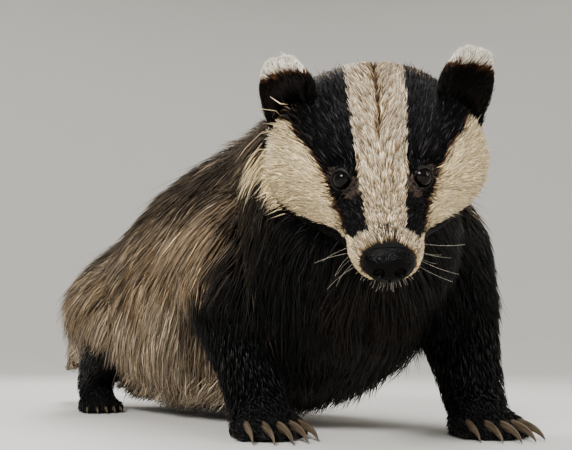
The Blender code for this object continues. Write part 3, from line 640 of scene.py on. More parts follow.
def eye_opening(side):
    """A cutter that opens the skin in front of an eyeball."""
    turn, centre = eye_turn(side), mirrored(EYE_AT, side)
    rings = []
    for depth in (0.0030, 0.0200):
        ring = []
        for step in range(32):
            across, rise = opening_point(side, 0.0008, 2 * math.pi * step / 32)
            ring.append(centre + turn @ Vector((across, rise, depth)))
        rings.append(ring)
    return to_head(loft("opening", rings))


def mouth_groove():
    """A thin wedge along the line of the mouth that goes only a little way into the muzzle."""
    line = MOUTH_FRONT - MOUTH_CORNER
    tilt = math.atan2(line.z, -line.y)
    made = ball("groove", (MOUTH_FRONT + MOUTH_CORNER) / 2 + Vector((0, -0.006, 0)),
                Vector((0.050, line.length / 2 + 0.010, 0.0013)), 32, 8, tilted("X", -math.degrees(tilt)))
    to_head(made)
    return boolean(made, head_skin(0.0035), "DIFFERENCE")


# The skin

def part_surfaces():
    """Every form of the bare body by its region's name."""
    parts = {
        "trunk": trunk_skin("trunk", TRUNK, 60, 48),
        "tail": trunk_skin("tail", TAIL, 20, 24),
        "head": head_skin(),
    }
    for side, word in SIDES:
        parts[f"ear_{word}"] = ear_skin(side)
    for name, rows in LEGS.items():
        parts[f"leg_{name}"] = leg_skin(rows)
        parts[f"paw_{name}"] = joined("paw", paw_skin(name))
    return parts


def tree_of(obj):
    return BVHTree.FromPolygons([v.co for v in obj.data.vertices], [p.vertices for p in obj.data.polygons])


def copy_of(obj):
    return linked(obj.name, obj.data.copy())


def make_skin(parts):
    """One closed skin: a fine head with its ears, joined to a coarser body that is flat on its soles."""
    forms = [copy_of(parts[name]) for name in parts if name.startswith(("head", "ear"))]
    for side, _ in SIDES:
        forms.append(to_head(ball("lid", mirrored(EYE_AT, side), Vector((LID_RADIUS,) * 3), 24, 16)))
    head = joined("head", forms)
    one_surface(head, HEAD_VOXEL, 3)
    skin = joined("skin", [copy_of(parts[name]) for name in parts if not name.startswith(("head", "ear"))])
    one_surface(skin, BODY_VOXEL, 3)
    boolean(skin, head, "UNION", "MANIFOLD")
    boolean(skin, mouth_groove(), "DIFFERENCE")
    for side, _ in SIDES:
        boolean(skin, eye_opening(side), "DIFFERENCE")
    return in_fixed_order(skin)


def in_fixed_order(obj):
    """Sorts a mesh's points by place and its faces by their points, and keeps it off the floor.

    An exact cut leaves the same points and faces in another order each time that the script runs. The coat's
    random draws go by that order, so without this every run would grow the tufts in other places.
    """
    points, _ = vertex_arrays(obj)
    order = np.lexsort(points.T)
    rank = np.empty(len(order), int)
    rank[order] = np.arange(len(order))
    faces = []
    for polygon in obj.data.polygons:
        corners = [int(rank[index]) for index in polygon.vertices]
        first = corners.index(min(corners))
        faces.append(corners[first:] + corners[:first])
    points = points[order]
    points[:, 2] = np.maximum(points[:, 2], FLOOR_GAP)
    mesh = bpy.data.meshes.new(obj.name)
    mesh.from_pydata(points.tolist(), [], sorted(faces))
    mesh.update()
    obj.data = mesh
    return obj


def vertex_arrays(obj):
    count = len(obj.data.vertices)
    points, normals = np.empty(count * 3), np.empty(count * 3)
    obj.data.vertices.foreach_get("co", points)
    obj.data.vertices.foreach_get("normal", normals)
    return points.reshape(-1, 3), normals.reshape(-1, 3)


def region_weights(points, parts):
    """How much each skin vertex belongs to each form, from how near that form's surface is."""
    weights = {}
    for name, obj in parts.items():
        tree = tree_of(obj)
        corners = np.array([v.co for v in obj.data.vertices])
        near = np.all((points > corners.min(0) - 0.03) & (points < corners.max(0) + 0.03), axis=1)
        distance = np.full(len(points), 1.0)
        for index in np.flatnonzero(near):
            distance[index] = tree.find_nearest(Vector(points[index]))[3]
        weights[name] = np.exp(-distance / 0.005)
    total = np.maximum(sum(weights.values()), 1e-9)
    return {name: weight / total for name, weight in weights.items()}


def on_line(points, rows):
    """Distance along a centre line and its direction there, for each point."""
    lengths, shares = lengths_of(rows)
    line = np.array([between(rows, share)[:3] for share in shares])
    directions = unit(np.gradient(line, axis=0))
    nearest = np.empty(len(points), int)
    for start in range(0, len(points), 20000):
        block = points[start:start + 20000]
        nearest[start:start + 20000] = np.argmin(((block[:, None] - line[None]) ** 2).sum(2), axis=1)
    return lengths[nearest], directions[nearest], line[nearest]


def in_head(points):
    """Points in the head's frame, in millimetres."""
    inverse = np.array(HEAD_INVERSE)
    return (points @ inverse[:3, :3].T + inverse[:3, 3]) * 1000


def lie_of(points, normals, weights):
    """Which way the coat lies at each vertex, along the skin."""
    turn = np.array(HEAD_MATRIX)[:3, :3]
    q = in_head(points)
    side = np.sign(q[:, 0])
    wide = np.abs(q[:, 0])
    cheek = step_between(wide, 22, 60)
    parting = step_between(q[:, 1], 0, 25) * (1 - step_between(wide, 6, 18))
    head = np.stack([
        side * (0.10 + 0.42 * cheek + 0.30 * parting),
        np.ones(len(q)),
        -0.10 - 0.55 * cheek * step_between(-q[:, 2], -10, 25),
    ], axis=1)
    for eye_side, _ in SIDES:
        aside, away = aside_of_eye(q / 1000, eye_side)
        head += away * (1.6 * (1 - step_between(aside, 0.007, 0.020)))[:, None]
    head = head @ turn.T
    _, along, _ = on_line(points, TRUNK)
    down = np.array([0, 0, -1.0])
    steep = np.abs(normals[:, 0:1])
    trunk = along + down * (0.22 + 0.95 * steep)
    swirl = 0.24 * mottle(points, 0.05, SWIRL_SEED)
    trunk = unit(trunk) + np.cross(normals, unit(trunk)) * swirl[:, None]
    total = weights["head"][:, None] * unit(head) + weights["trunk"][:, None] * unit(trunk)
    _, tail_along, _ = on_line(points, TAIL)
    total += weights["tail"][:, None] * tail_along
    for ear_side, word in SIDES:
        base, up, _, across, height = ear_frame(ear_side)
        axis = np.array(HEAD_MATRIX.to_3x3() @ up)
        middle = np.array(HEAD_MATRIX @ (base + up * height * 0.45))
        sideways = np.array(HEAD_MATRIX.to_3x3() @ across)
        splay = np.clip((points - middle) @ sideways / EAR_HALF_WIDTH, -1, 1)
        total += weights[f"ear_{word}"][:, None] * unit(axis * 0.8 + sideways * splay[:, None] * 0.75)
    for name, rows in LEGS.items():
        _, leg_along, _ = on_line(points, rows)
        total += weights[f"leg_{name}"][:, None] * unit(leg_along + np.array([0, 0.12, 0]))
        heading = np.array(paw_matrix(name).to_3x3() @ Vector((0, -1, -0.35)))
        total += weights[f"paw_{name}"][:, None] * unit(heading)
    flat = total - normals * (total * normals).sum(1, keepdims=True)
    return unit(flat)


def fur_of(points, normals, weights):
    """Each vertex's row of the fur table, blended by region."""
    q = in_head(points)
    muzzle = 1 - step_between(q[:, 1], -34, 2)
    cheek = step_between(np.abs(q[:, 0]), 30, 62) * step_between(q[:, 1], 5, 40)
    cheek = np.maximum(cheek, step_between(q[:, 1], 70, 100) * 0.8)
    distance, _, centre = on_line(points, TRUNK)
    neck = 1 - step_between(distance, 0.07, 0.15)
    shares = {
        "muzzle": weights["head"] * muzzle,
        "face": weights["head"] * (1 - muzzle) * (1 - cheek),
        "cheek": weights["head"] * (1 - muzzle) * cheek,
        "ear": weights["ear_left"] + weights["ear_right"],
        "neck": weights["trunk"] * neck,
        "trunk": weights["trunk"] * (1 - neck),
        "tail": weights["tail"],
        "leg": sum(weights[f"leg_{name}"] for name in LEGS),
        "paw": sum(weights[f"paw_{name}"] for name in LEGS),
    }
    table = {name: np.array(row) for name, row in FUR.items()}
    rows = sum(share[:, None] * table[name] for name, share in shares.items())
    under = step_between(-normals[:, 2], 0.5, 0.95) * shares["trunk"]
    rows[:, 1] *= 1 - 0.35 * under
    rows[:, 2] *= 1 + 0.50 * under
    low = step_between(centre[:, 2] - points[:, 2], 0.02, 0.08) * shares["trunk"] * (1 - under)
    rows[:, 1] *= 1 + 0.75 * low
    upper = step_between(points[:, 2], 0.075, 0.150) * shares["leg"]
    rows[:, 1] *= 1 + 1.5 * upper
    rows[:, 2] *= 1 + 1.2 * upper
    for side, word in SIDES:
        base, up, _, _, height = ear_frame(side)
        rise = (q / 1000 - np.array(base)) @ np.array(up)
        rim = step_between(rise, height * 0.62, height * 0.95) * weights[f"ear_{word}"]
        rows[:, 1] *= 1 + 0.45 * rim
        rows[:, 2] *= 1 + 1.1 * rim
        near = 1 - step_between(aside_of_eye(q / 1000, side)[0], 0.007, 0.021)
        rows[:, 1] *= 1 - 0.68 * near
        rows[:, 2] *= 1 - 0.55 * near
        rows[:, 0] *= 1 + 0.5 * near
    return rows


# Markings

def marking(points, weights_at, seed):
    """For each place on the skin, how much of each colour its hair has."""
    q = in_head(points)
    edge = mottle(points, 0.006, seed) * 0.9 + mottle(points, 0.002, seed + 1) * 0.5
    wide = np.abs(q[:, 0]) + edge
    back = q[:, 1] + edge
    high = q[:, 2] + edge
    white_half, black_half = by_table(WHITE_HALF, back), by_table(BLACK_HALF, back)
    low = by_table(CHEEK_LOW, back)
    stripe = wide < white_half
    band = back < MUZZLE_BAND
    chin = (high < low) & (back < -36)
    throat = (high < low) & ~chin
    black = ~stripe & (wide < black_half) & ~band & ~throat
    cheek = ~stripe & ~black & ~band & ~throat & (back < 76)
    distance, _, centre = on_line(points, TRUNK)
    grey = step_between(distance + mottle(points, 0.03, seed + 2) * 0.015, -0.02, 0.04)
    grey = np.where(weights_at["head"] > 0.5, step_between(back, 86, 104) * ~(cheek | stripe), grey)
    names = list(COLOURS)
    amount = np.zeros((len(points), len(names)))

    def put(name, where, share=1.0):
        index = names.index(name)
        share = np.where(where, share, 0.0)
        amount[:] *= (1 - share)[:, None]
        amount[:, index] += share

    put("black", np.ones(len(points), bool))
    put("stripe", stripe | (band & (high > -16)))
    put("brown", stripe & (back > -30), 0.08 + 0.20 * step_between(back, 20, 90))
    put("cheek", cheek | chin | (band & (high <= -16)))
    over_nose = 1 - step_between(np.hypot(wide / 9, (back + 47) / 10), 0.5, 1.3)
    put("black", high > -16, 0.55 * over_nose)
    put("ear_dark", near_nose(q / 1000) < 1.10)
    parting = np.abs(q[:, 0]) < by_table(PARTING_HALF, q[:, 1])
    put("brown", stripe & parting & (q[:, 1] > PARTING_HALF[0][0]), 0.8)
    border = np.abs(wide - black_half - 0.5) < 1.6
    put("brown", border & (back > -25) & ~throat & ~stripe, 0.5)
    ruff = (wide > 72) & (wide < 104) & (back > 22) & (back < 78) & (high > -50) & (high < 8)
    pale_ruff = ruff & (q[:, 0] < 0)
    put("cheek", pale_ruff, 0.9)
    for side, _ in SIDES:
        spot = np.linalg.norm(q - np.array([17.5 * side, -7.5, 0.0]), axis=1)
        put("patch", black & (spot < 7.5), 0.75)
        brow = np.linalg.norm(q - np.array([30.5 * side, 6.5, 2.0]), axis=1)
        put("patch", black & (brow < 5.0), 0.5)
    body = weights_at["trunk"] + weights_at["tail"]
    coated = ((body > 0.3) | (weights_at["head"] > 0.5)) & ~pale_ruff
    put("grizzled", coated, grey)
    height = points[:, 2] - centre[:, 2] + mottle(points, 0.035, seed + 6) * 0.03
    put("tan", coated, grey * 0.6 * step_between(-height, -0.04, 0.04))
    # Paler low on the flanks: painted light, lightening the lower flank where it lies in shade.
    put("pale", coated, grey * 0.6 * step_between(-height, 0.03, 0.07))
    # Darker along the top of the body: partly the coat's darker back, partly painted shade on the top.
    dusk = np.maximum(step_between(height, 0.0, 0.09), step_between(points[:, 2], 0.15, 0.20))
    put("back", coated, grey * 0.85 * dusk)
    left = points[:, 0] > centre[:, 0]
    shoulder = by_table(SHOULDER_EDGE, points[:, 2]) - np.where(left, 0.03, 0.0)
    shoulder = shoulder + mottle(points, 0.02, seed + 3) * 0.012
    soft = 0.065 * step_between(points[:, 2], 0.070, 0.105)
    dark = 1 - step_between(points[:, 1], shoulder - 0.012 - soft, shoulder + 0.018)
    flank = np.abs(points[:, 0] - centre[:, 0]) > 0.03
    beside = (points[:, 2] < centre[:, 2] + 0.03) | flank
    beside &= (body > 0.3) & (points[:, 2] < 0.225) & ~pale_ruff
    # A dark brown band just behind the black shoulder is painted shadow, the shade in the gap between upper
    # arm and flank.
    put("belly_and_shade", beside, (1 - step_between(points[:, 1], shoulder, shoulder + 0.045)) * 0.7)
    put("black", beside, dark)
    inner = 1 - step_between(np.abs(points[:, 0] - centre[:, 0]), 0.025, 0.055)
    under = step_between(centre[:, 2] - points[:, 2], 0.080, 0.110) * inner * (weights_at["trunk"] > 0.3)
    put("belly_and_shade", under > 0, under)
    put("pale", weights_at["tail"] > 0.4, 0.55)
    for name in LEGS:
        limb = step_between(weights_at[f"leg_{name}"] + weights_at[f"paw_{name}"], 0.3, 0.6)
        level = points[:, 2] + mottle(points, 0.015, seed + 7) * 0.008
        if name.startswith("hind"):
            black_limb = 1 - step_between(level, THIGH_DARK - 0.012, THIGH_DARK + 0.02)
        else:
            black_limb = np.maximum(dark, 1 - step_between(level, ARM_DARK - 0.02, ARM_DARK + 0.02))
        put("grizzled", limb > 0, limb)
        put("tan", limb > 0, limb * 0.5)
        put("belly_and_shade", limb > 0, limb * np.minimum(black_limb * 1.6, 1))
        put("leg", limb > 0, limb * black_limb)
    for side, word in SIDES:
        base, up, _, across, height = ear_frame(side)
        offset = q / 1000 - np.array(base)
        rise = offset @ np.array(up)
        bowed = EAR_RIM + 0.0035 * (offset @ np.array(across) / EAR_HALF_WIDTH) ** 2 + edge * 0.0012
        ear = weights_at[f"ear_{word}"] > 0.45
        put("ear_dark", ear)
        put("brown", ear & (rise > height - bowed - 0.0030), 0.8)
        put("ear_rim", ear & (rise > height - bowed))
    return amount


def tint_of(amount, chance, stations, clump_shift):
    """Colours of hairs at their stations from root to tip, varied from hair to hair and from lock to lock."""
    names = list(COLOURS)
    root, middle, tip = (np.array([linear(COLOURS[n][k]) for n in names]) for k in range(3))
    count = len(amount)
    sharp = amount / amount.max(axis=1, keepdims=True)
    chosen = (chance.random(amount.shape) ** 0.35 * (sharp + 0.001)).argmax(axis=1)
    amount = 0.35 * amount + 0.65 * np.eye(len(names))[chosen]
    share_of = {name: amount[:, index] for index, name in enumerate(names)}
    banded = sum(share_of[name] for name in ("grizzled", "back", "tan", "pale"))
    shift = (chance.normal(-0.05, 0.20, count) + 0.19 * clump_shift) * banded
    shares = np.linspace(0, 1, stations)[None] + shift[:, None]
    rows = [amount @ part for part in (root, middle, tip)]
    to_middle = step_between(shares, 0.05, 0.50)[..., None]
    to_tip = step_between(shares, 0.62, 0.95)[..., None]
    tint = rows[0][:, None] * (1 - to_middle) + rows[1][:, None] * to_middle
    tint = tint * (1 - to_tip) + rows[2][:, None] * to_tip
    by_hair = 0.20 + 0.14 * share_of["stripe"]
    by_clump = 0.10 + 0.16 * share_of["stripe"]
    tint *= np.exp(chance.normal(0, 1, count) * by_hair + by_clump * clump_shift)[:, None, None]
    # A few black hairs are painted brighter: painted highlights, glints of light on single hairs.
    glint = (chance.random(count) < GLINT_SHARE) * (1 - banded)
    lift = 1 + glint * (GLINT_LIFT[stations] * share_of["black"] + LEG_GLINT_LIFT * share_of["leg"])
    dull = (chance.random(count) < DULL_SHARE) * (share_of["stripe"] + 0.4 * share_of["cheek"])
    return tint * lift[:, None, None] * (1 - dull[:, None, None] * np.array(DULL_BY))


# The coat

class Skin:
    """The skin's arrays: vertices, triangles and what the coat needs at each vertex."""

    def __init__(self, obj, parts):
        self.obj = obj
        self.points, self.normals = vertex_arrays(obj)
        self.weights = region_weights(self.points, parts)
        self.lie = lie_of(self.points, self.normals, self.weights)
        self.fur = fur_of(self.points, self.normals, self.weights)
        mesh = obj.data
        mesh.calc_loop_triangles()
        count = len(mesh.loop_triangles)
        corners, loops = np.empty(count * 3, int), np.empty(count * 3, int)
        mesh.loop_triangles.foreach_get("vertices", corners)
        mesh.loop_triangles.foreach_get("loops", loops)
        self.corners, self.loops = corners.reshape(-1, 3), loops.reshape(-1, 3)
        uv = np.empty(len(mesh.loops) * 2, np.float32)
        mesh.uv_layers["OFBake"].uv.foreach_get("vector", uv)
        self.uv = uv.reshape(-1, 2)
        self.tree = KDTree(len(self.points))
        for index, point in enumerate(self.points):
            self.tree.insert(point, index)
        self.tree.balance()

    def nearest(self, places):
        return np.array([self.tree.find(place)[1] for place in places])

    def scattered(self, chance, share):
        """Random roots over the skin, as dense as each region's fur asks."""
        a, b, c = (self.points[self.corners[:, k]] for k in range(3))
        area = np.linalg.norm(np.cross(b - a, c - a), axis=1) / 2 * 1e4
        wanted = area * self.fur[self.corners, 0].mean(axis=1) * share
        total = wanted.sum()
        places = (np.arange(int(total)) + chance.random(int(total))) / int(total) * total
        triangle = np.minimum(np.searchsorted(np.cumsum(wanted), places), len(wanted) - 1)
        one, two = chance.random(len(triangle)), chance.random(len(triangle))
        flip = one + two > 1
        one[flip], two[flip] = 1 - one[flip], 1 - two[flip]
        mix = np.stack([1 - one - two, one, two], axis=1)
        return triangle, mix

    def blended(self, values, triangle, mix):
        return (values[self.corners[triangle]] * mix[..., None]).sum(axis=1)


def turned(vectors, axes, degrees):
    """Vectors turned about their own axes."""
    angle = np.radians(degrees)[:, None]
    return vectors * np.cos(angle) + np.cross(axes, vectors) * np.sin(angle)


def lying_paths(skin, roots, heading, fur, stations, lift):
    """Centre lines of hairs that leave the skin and lie back over it, following its form."""
    count = len(roots)
    path = np.empty((count, stations, 3))
    ups = np.empty((count, stations, 3))
    index = skin.nearest(roots)
    length, height = fur[:, 1:2], fur[:, 2:3] * lift[:, None]
    place, ahead, up = roots.copy(), heading.copy(), skin.normals[index]
    path[:, 0] = place - up * 0.0006
    ups[:, 0] = up
    profile = (np.arange(stations) / (stations - 1)) ** 0.62
    for station in range(1, stations):
        place = place + ahead * length / (stations - 1)
        index = skin.nearest(place)
        up = skin.normals[index]
        offset = ((place - skin.points[index]) * up).sum(1, keepdims=True)
        hangs = HANG * step_between(-ahead[:, 2:], 0.35, 0.75) if stations == 4 else 0.0
        place = place - up * np.where(offset < 0, offset, offset * (1 - hangs))
        bend = unit(skin.lie[index])
        ahead = ahead * 0.65 + bend * 0.35
        ahead = unit(ahead - up * (ahead * up).sum(1, keepdims=True) * (1 - hangs))
        path[:, station] = place + up * height * profile[station]
        ups[:, station] = up
    return path, ups


def tuft_object(name, path, ups, half_width, tint, uv, numbers, width_profile):
    """One mesh of closed, three-sided, tapered tufts along their centre lines."""
    count, stations, _ = path.shape
    rings = stations - 1
    ahead = unit(np.gradient(path, axis=1))
    side = unit(np.cross(ahead, ups))
    crest = np.cross(side, ahead)
    reach = half_width[:, None, None, None] * np.array(width_profile)[None, :rings, None, None]
    across = np.array([0.0, -1.0, 1.0])[None, None, :, None]
    rise = np.array([0.55, -0.25, -0.25])[None, None, :, None]
    ring = path[:, :rings, None] + reach * (across * side[:, :rings, None] + rise * crest[:, :rings, None])
    each = rings * 3 + 1
    points = np.concatenate([ring.reshape(count, rings * 3, 3), path[:, -1:]], axis=1).reshape(-1, 3)
    points[:, 2] = np.maximum(points[:, 2], FLOOR_GAP)
    faces = [(0, 1, 2)]
    for r in range(rings - 1):
        faces += [(r * 3 + i, r * 3 + 3 + i, r * 3 + 3 + (i + 1) % 3, r * 3 + (i + 1) % 3) for i in range(3)]
    last = (rings - 1) * 3
    faces += [(last + i, each - 1, last + (i + 1) % 3) for i in range(3)]
    pattern = np.array([v for face in faces for v in face])
    sizes = np.array([len(face) for face in faces])
    loops = (pattern[None] + (np.arange(count) * each)[:, None]).ravel()
    starts = np.concatenate([[0], np.cumsum(np.tile(sizes, count))[:-1]])

    mesh = bpy.data.meshes.new(name)
    mesh.vertices.add(len(points))
    mesh.vertices.foreach_set("co", points.astype(np.float32).ravel())
    mesh.loops.add(len(loops))
    mesh.loops.foreach_set("vertex_index", loops.astype(np.int32))
    mesh.polygons.add(len(starts))
    mesh.polygons.foreach_set("loop_start", starts.astype(np.int32))
    mesh.update(calc_edges=True)
    mesh.polygons.foreach_set("use_smooth", np.ones(len(starts), bool))

    colours = np.ones((count, each, 4), np.float32)
    colours[:, :-1, :3] = np.repeat(tint[:, :rings], 3, axis=1)
    colours[:, -1, :3] = tint[:, -1]
    mesh.color_attributes.new("tint", "FLOAT_COLOR", "POINT").data.foreach_set("color", colours.ravel())
    strand = np.empty((count, each, 3), np.float32)
    shares = np.append(np.repeat(np.arange(rings) / rings, 3), 1.0)
    strand[..., 0] = np.append(np.tile([0.5, 0.0, 1.0], rings), 0.5)
    strand[..., 1] = shares
    strand[..., 2] = numbers[:, None]
    mesh.attributes.new("strand", "FLOAT_VECTOR", "POINT").data.foreach_set("vector", strand.ravel())
    patch = strand[..., :2] * PATCH_WIDTH + uv[:, None]
    layer = mesh.uv_layers.new(name="OFBake")
    layer.uv.foreach_set("vector", patch.reshape(-1, 2)[loops].astype(np.float32).ravel())
    return linked(name, mesh)


def coat_regions(weights, distance):
    """The coat piece that each root belongs to."""
    near_neck = distance < NECK_REACH
    scores = {
        "head": weights["head"],
        "ear": weights["ear_left"] + weights["ear_right"],
        "neck": weights["trunk"] * near_neck,
        "trunk": weights["trunk"] * ~near_neck,
        "tail": weights["tail"],
        "leg": sum(weights[f"leg_{name}"] + weights[f"paw_{name}"] for name in LEGS),
    }
    return np.stack([scores[region] for region, _ in COAT_PIECES.values()], axis=1).argmax(axis=1)


def aside_of_eye(q, side):
    """How far points of the head's frame are from an eye's line of gaze, and which way off it they lie."""
    offset = q - np.array(mirrored(EYE_AT, side))
    gaze = np.array(mirrored(EYE_GAZE, side))
    forward = offset @ gaze
    aside = offset - forward[:, None] * gaze
    distance = np.linalg.norm(aside, axis=1)
    return np.where(forward > 0, distance, 1.0), unit(aside)


def near_nose(q):
    """How far points of the head's frame are from the nose's centre, as a share of its size."""
    return np.linalg.norm((q - np.array(NOSE_AT)) / np.array(NOSE_HALF), axis=1)


def keep_clear(points):
    """Which roots grow hair: none on the nose pad, the open eye, the line of the mouth or the soles."""
    q = in_head(points) / 1000
    clear = near_nose(q) > 0.99
    for side, _ in SIDES:
        clear &= aside_of_eye(q, side)[0] > LID_BARE
    line = np.array(MOUTH_FRONT - MOUTH_CORNER)
    share = (q[:, 1] - MOUTH_CORNER.y) / line[1]
    height = MOUTH_CORNER.z + line[2] * share
    clear &= ~((np.abs(q[:, 2] - height) < 0.0012) & (share > 0) & (np.abs(q[:, 0]) < 0.04))
    return clear & (points[:, 2] > 0.0035)


def make_coat(skin):
    """All the coat's pieces."""
    chance = np.random.default_rng(COAT_SEED)
    share, wider = ((1.0, 1.0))
    trial, mix = skin.scattered(chance, share)
    roots = skin.blended(skin.points, trial, mix)
    clear = keep_clear(roots)
    trial, mix, roots = trial[clear], mix[clear], roots[clear]
    weights = {name: skin.blended(w[:, None], trial, mix)[:, 0] for name, w in skin.weights.items()}
    distance, _, _ = on_line(roots, TRUNK)
    region = coat_regions(weights, distance)
    stations = np.array([count for _, count in COAT_PIECES.values()])[region]
    triangles = np.where(stations == 3, TRIANGLES[3], TRIANGLES[4]).sum()
    if triangles > MOST_COAT_TRIANGLES:
        kept = chance.random(len(roots)) < MOST_COAT_TRIANGLES / triangles
        trial, mix, roots, region = trial[kept], mix[kept], roots[kept], region[kept]
        weights = {name: w[kept] for name, w in weights.items()}
    normals = unit(skin.blended(skin.normals, trial, mix))
    lie = unit(skin.blended(skin.lie, trial, mix))
    fur = skin.blended(skin.fur, trial, mix)
    uv = (skin.uv[skin.loops[trial]] * mix[..., None]).sum(axis=1)
    made = []
    for index, (name, (_, count)) in enumerate(COAT_PIECES.items()):
        chosen = np.flatnonzero(region == index)
        chosen = chosen[np.argsort(roots[chosen] @ np.array([0.35, 1.0, 0.2]))]
        pieces = max(1, math.ceil(len(chosen) * TRIANGLES[count] / PIECE_TRIANGLES))
        grown_from = (roots[chosen], lie[chosen], normals[chosen], fur[chosen])
        clumps, clump_shift = clump_paths(skin, *grown_from, count, chance)
        for number, part in enumerate(np.array_split(np.arange(len(chosen)), pieces)):
            picked = chosen[part]
            turn = chance.normal(0, 1, len(picked)) * fur[picked, 5]
            heading = turned(lie[picked], normals[picked], turn)
            grown = fur[picked].copy()
            grown[:, 1] *= chance.uniform(*LENGTH_SPREAD, len(picked))
            lift = chance.uniform(*LIFT_SPREAD, len(picked))
            stray = chance.random(len(picked)) < STRAY_SHARE[count]
            lift[stray] *= STRAY_LIFT[count]
            path, ups = lying_paths(skin, roots[picked], heading, grown, count, lift)
            rise = np.linspace(0, 1, count)[None, :, None] ** 1.4
            pull = fur[picked, 4] * chance.uniform(*PULL_SPREAD, len(picked)) * ~stray
            path = path + (clumps[part] - path) * np.clip(pull[:, None, None] * rise, 0, 0.9)
            seen = (path[:, -2] + path[:, -1]) / 2
            amount = marking(seen, {name: w[picked] for name, w in weights.items()}, MARKING_SEED)
            tint = tint_of(amount, chance, count, clump_shift[part])
            width = fur[picked, 3] * chance.uniform(*WIDTH_SPREAD, len(picked)) * wider
            width *= np.where(stray, 0.6, 1.0)
            label = name if pieces == 1 else f"{name}_{number + 1}"
            numbers = chance.random(len(picked))
            profile = WIDTH_PROFILE[count]
            made.append(tuft_object(label, path, ups, width, tint, uv[picked], numbers, profile))
    return made


def clump_paths(skin, roots, lie, normals, fur, stations, chance):
    """For each hair, the centre line of the lock that it gathers towards."""
    leaders = chance.choice(len(roots), max(8, len(roots) // LOCK_HAIRS[stations]), replace=False)
    turn = chance.normal(0, 1, len(leaders)) * fur[leaders, 5] * 0.9
    heading = turned(lie[leaders], normals[leaders], turn)
    grown = fur[leaders].copy()
    grown[:, 1] *= chance.uniform(0.85, 1.12, len(leaders))
    lift = chance.uniform(0.70, 1.12, len(leaders))
    path, _ = lying_paths(skin, roots[leaders], heading, grown, stations, lift)
    tree = KDTree(len(leaders))
    for index, leader in enumerate(leaders):
        tree.insert(roots[leader], index)
    tree.balance()
    leader = np.array([tree.find(root)[1] for root in roots])
    return path[leader], chance.normal(0, 1, len(leaders))[leader]


# Materials

def add_node(tree, kind, inputs=None, **settings):
    """Adds a node with its settings, values and links."""
    made = tree.nodes.new(kind)
    for name, value in settings.items():
        setattr(made, name, value)
    for name, value in (inputs or {}).items():
        socket = made.inputs[name]
        if isinstance(value, bpy.types.NodeSocket):
            tree.links.new(value, socket)
        else:
            socket.default_value = value
    return made


def new_material(name, **values):
    """A Principled material, with its shader's plain values set on its own sockets."""
    made = bpy.data.materials.new(name)
    made.use_nodes = True
    tree = made.node_tree
    shader = tree.nodes["Principled BSDF"]
    for key, value in values.items():
        shader.inputs[key.replace("_", " ")].default_value = value
    return made, tree, shader


def set_stops(ramp, *stops):
    """Gives a colour ramp its stops, each a position and an sRGB hex colour, from low to high."""
    ramp.elements[0].position, ramp.elements[-1].position = stops[0][0], stops[-1][0]
    for position, _ in stops[1:-1]:
        ramp.elements.new(position)
    for element, (_, hex_colour) in zip(ramp.elements, stops):
        element.color = (*linear(hex_colour), 1)


def marked_colour(tree, shader, brightness):
    """Gives a shader the markings' colour, which the mesh carries, made lighter and darker by a pattern."""
    tint = add_node(tree, "ShaderNodeAttribute", attribute_name="tint")
    colour = add_node(tree, "ShaderNodeVectorMath", {
        0: tint.outputs["Color"], "Scale": brightness.outputs["Result"],
    }, operation="SCALE")
    tree.links.new(colour.outputs["Vector"], shader.inputs["Base Color"])


def hair_material(name, roughness, specular, streaks):
    """Hair grown from the skin: the markings' colour, with fine single hairs drawn across each tuft."""
    made, tree, shader = new_material(name, Roughness=roughness, Specular_IOR_Level=specular)
    strand = add_node(tree, "ShaderNodeAttribute", attribute_name="strand")
    stretch = add_node(tree, "ShaderNodeMapping", {
        "Vector": strand.outputs["Vector"], "Scale": (7.0, 1.2, 90.0),
    })
    hairs = add_node(tree, "ShaderNodeTexNoise", {
        "Vector": stretch.outputs["Vector"], "Scale": 1.0, "Detail": 2.0,
    })
    marked_colour(tree, shader, add_node(tree, "ShaderNodeMapRange", {
        "Value": hairs.outputs["Fac"], "From Min": 0.3, "From Max": 0.7,
        "To Min": 1.0 - streaks, "To Max": 1.0 + streaks,
    }))
    bump = add_node(tree, "ShaderNodeBump", {
        "Height": hairs.outputs["Fac"], "Strength": 0.35, "Distance": 0.0003,
    })
    tree.links.new(bump.outputs["Normal"], shader.inputs["Normal"])
    return made


def skin_material():
    """Skin under dense fur: the markings' colour, darker, with the undercoat's wool about 1 mm across."""
    made, tree, shader = new_material("haired skin, undercoat", Roughness=0.85, Specular_IOR_Level=0.2)
    place = add_node(tree, "ShaderNodeTexCoord")
    wool = add_node(tree, "ShaderNodeTexNoise", {
        "Vector": place.outputs["Object"], "Scale": 900.0, "Detail": 3.0,
    })
    marked_colour(tree, shader, add_node(tree, "ShaderNodeMapRange", {
        "Value": wool.outputs["Fac"], "From Min": 0.3, "From Max": 0.7, "To Min": 0.55, "To Max": 1.0,
    }))
    bump = add_node(tree, "ShaderNodeBump", {
        "Height": wool.outputs["Fac"], "Strength": 0.5, "Distance": 0.0006,
    })
    tree.links.new(bump.outputs["Normal"], shader.inputs["Normal"])
    return made


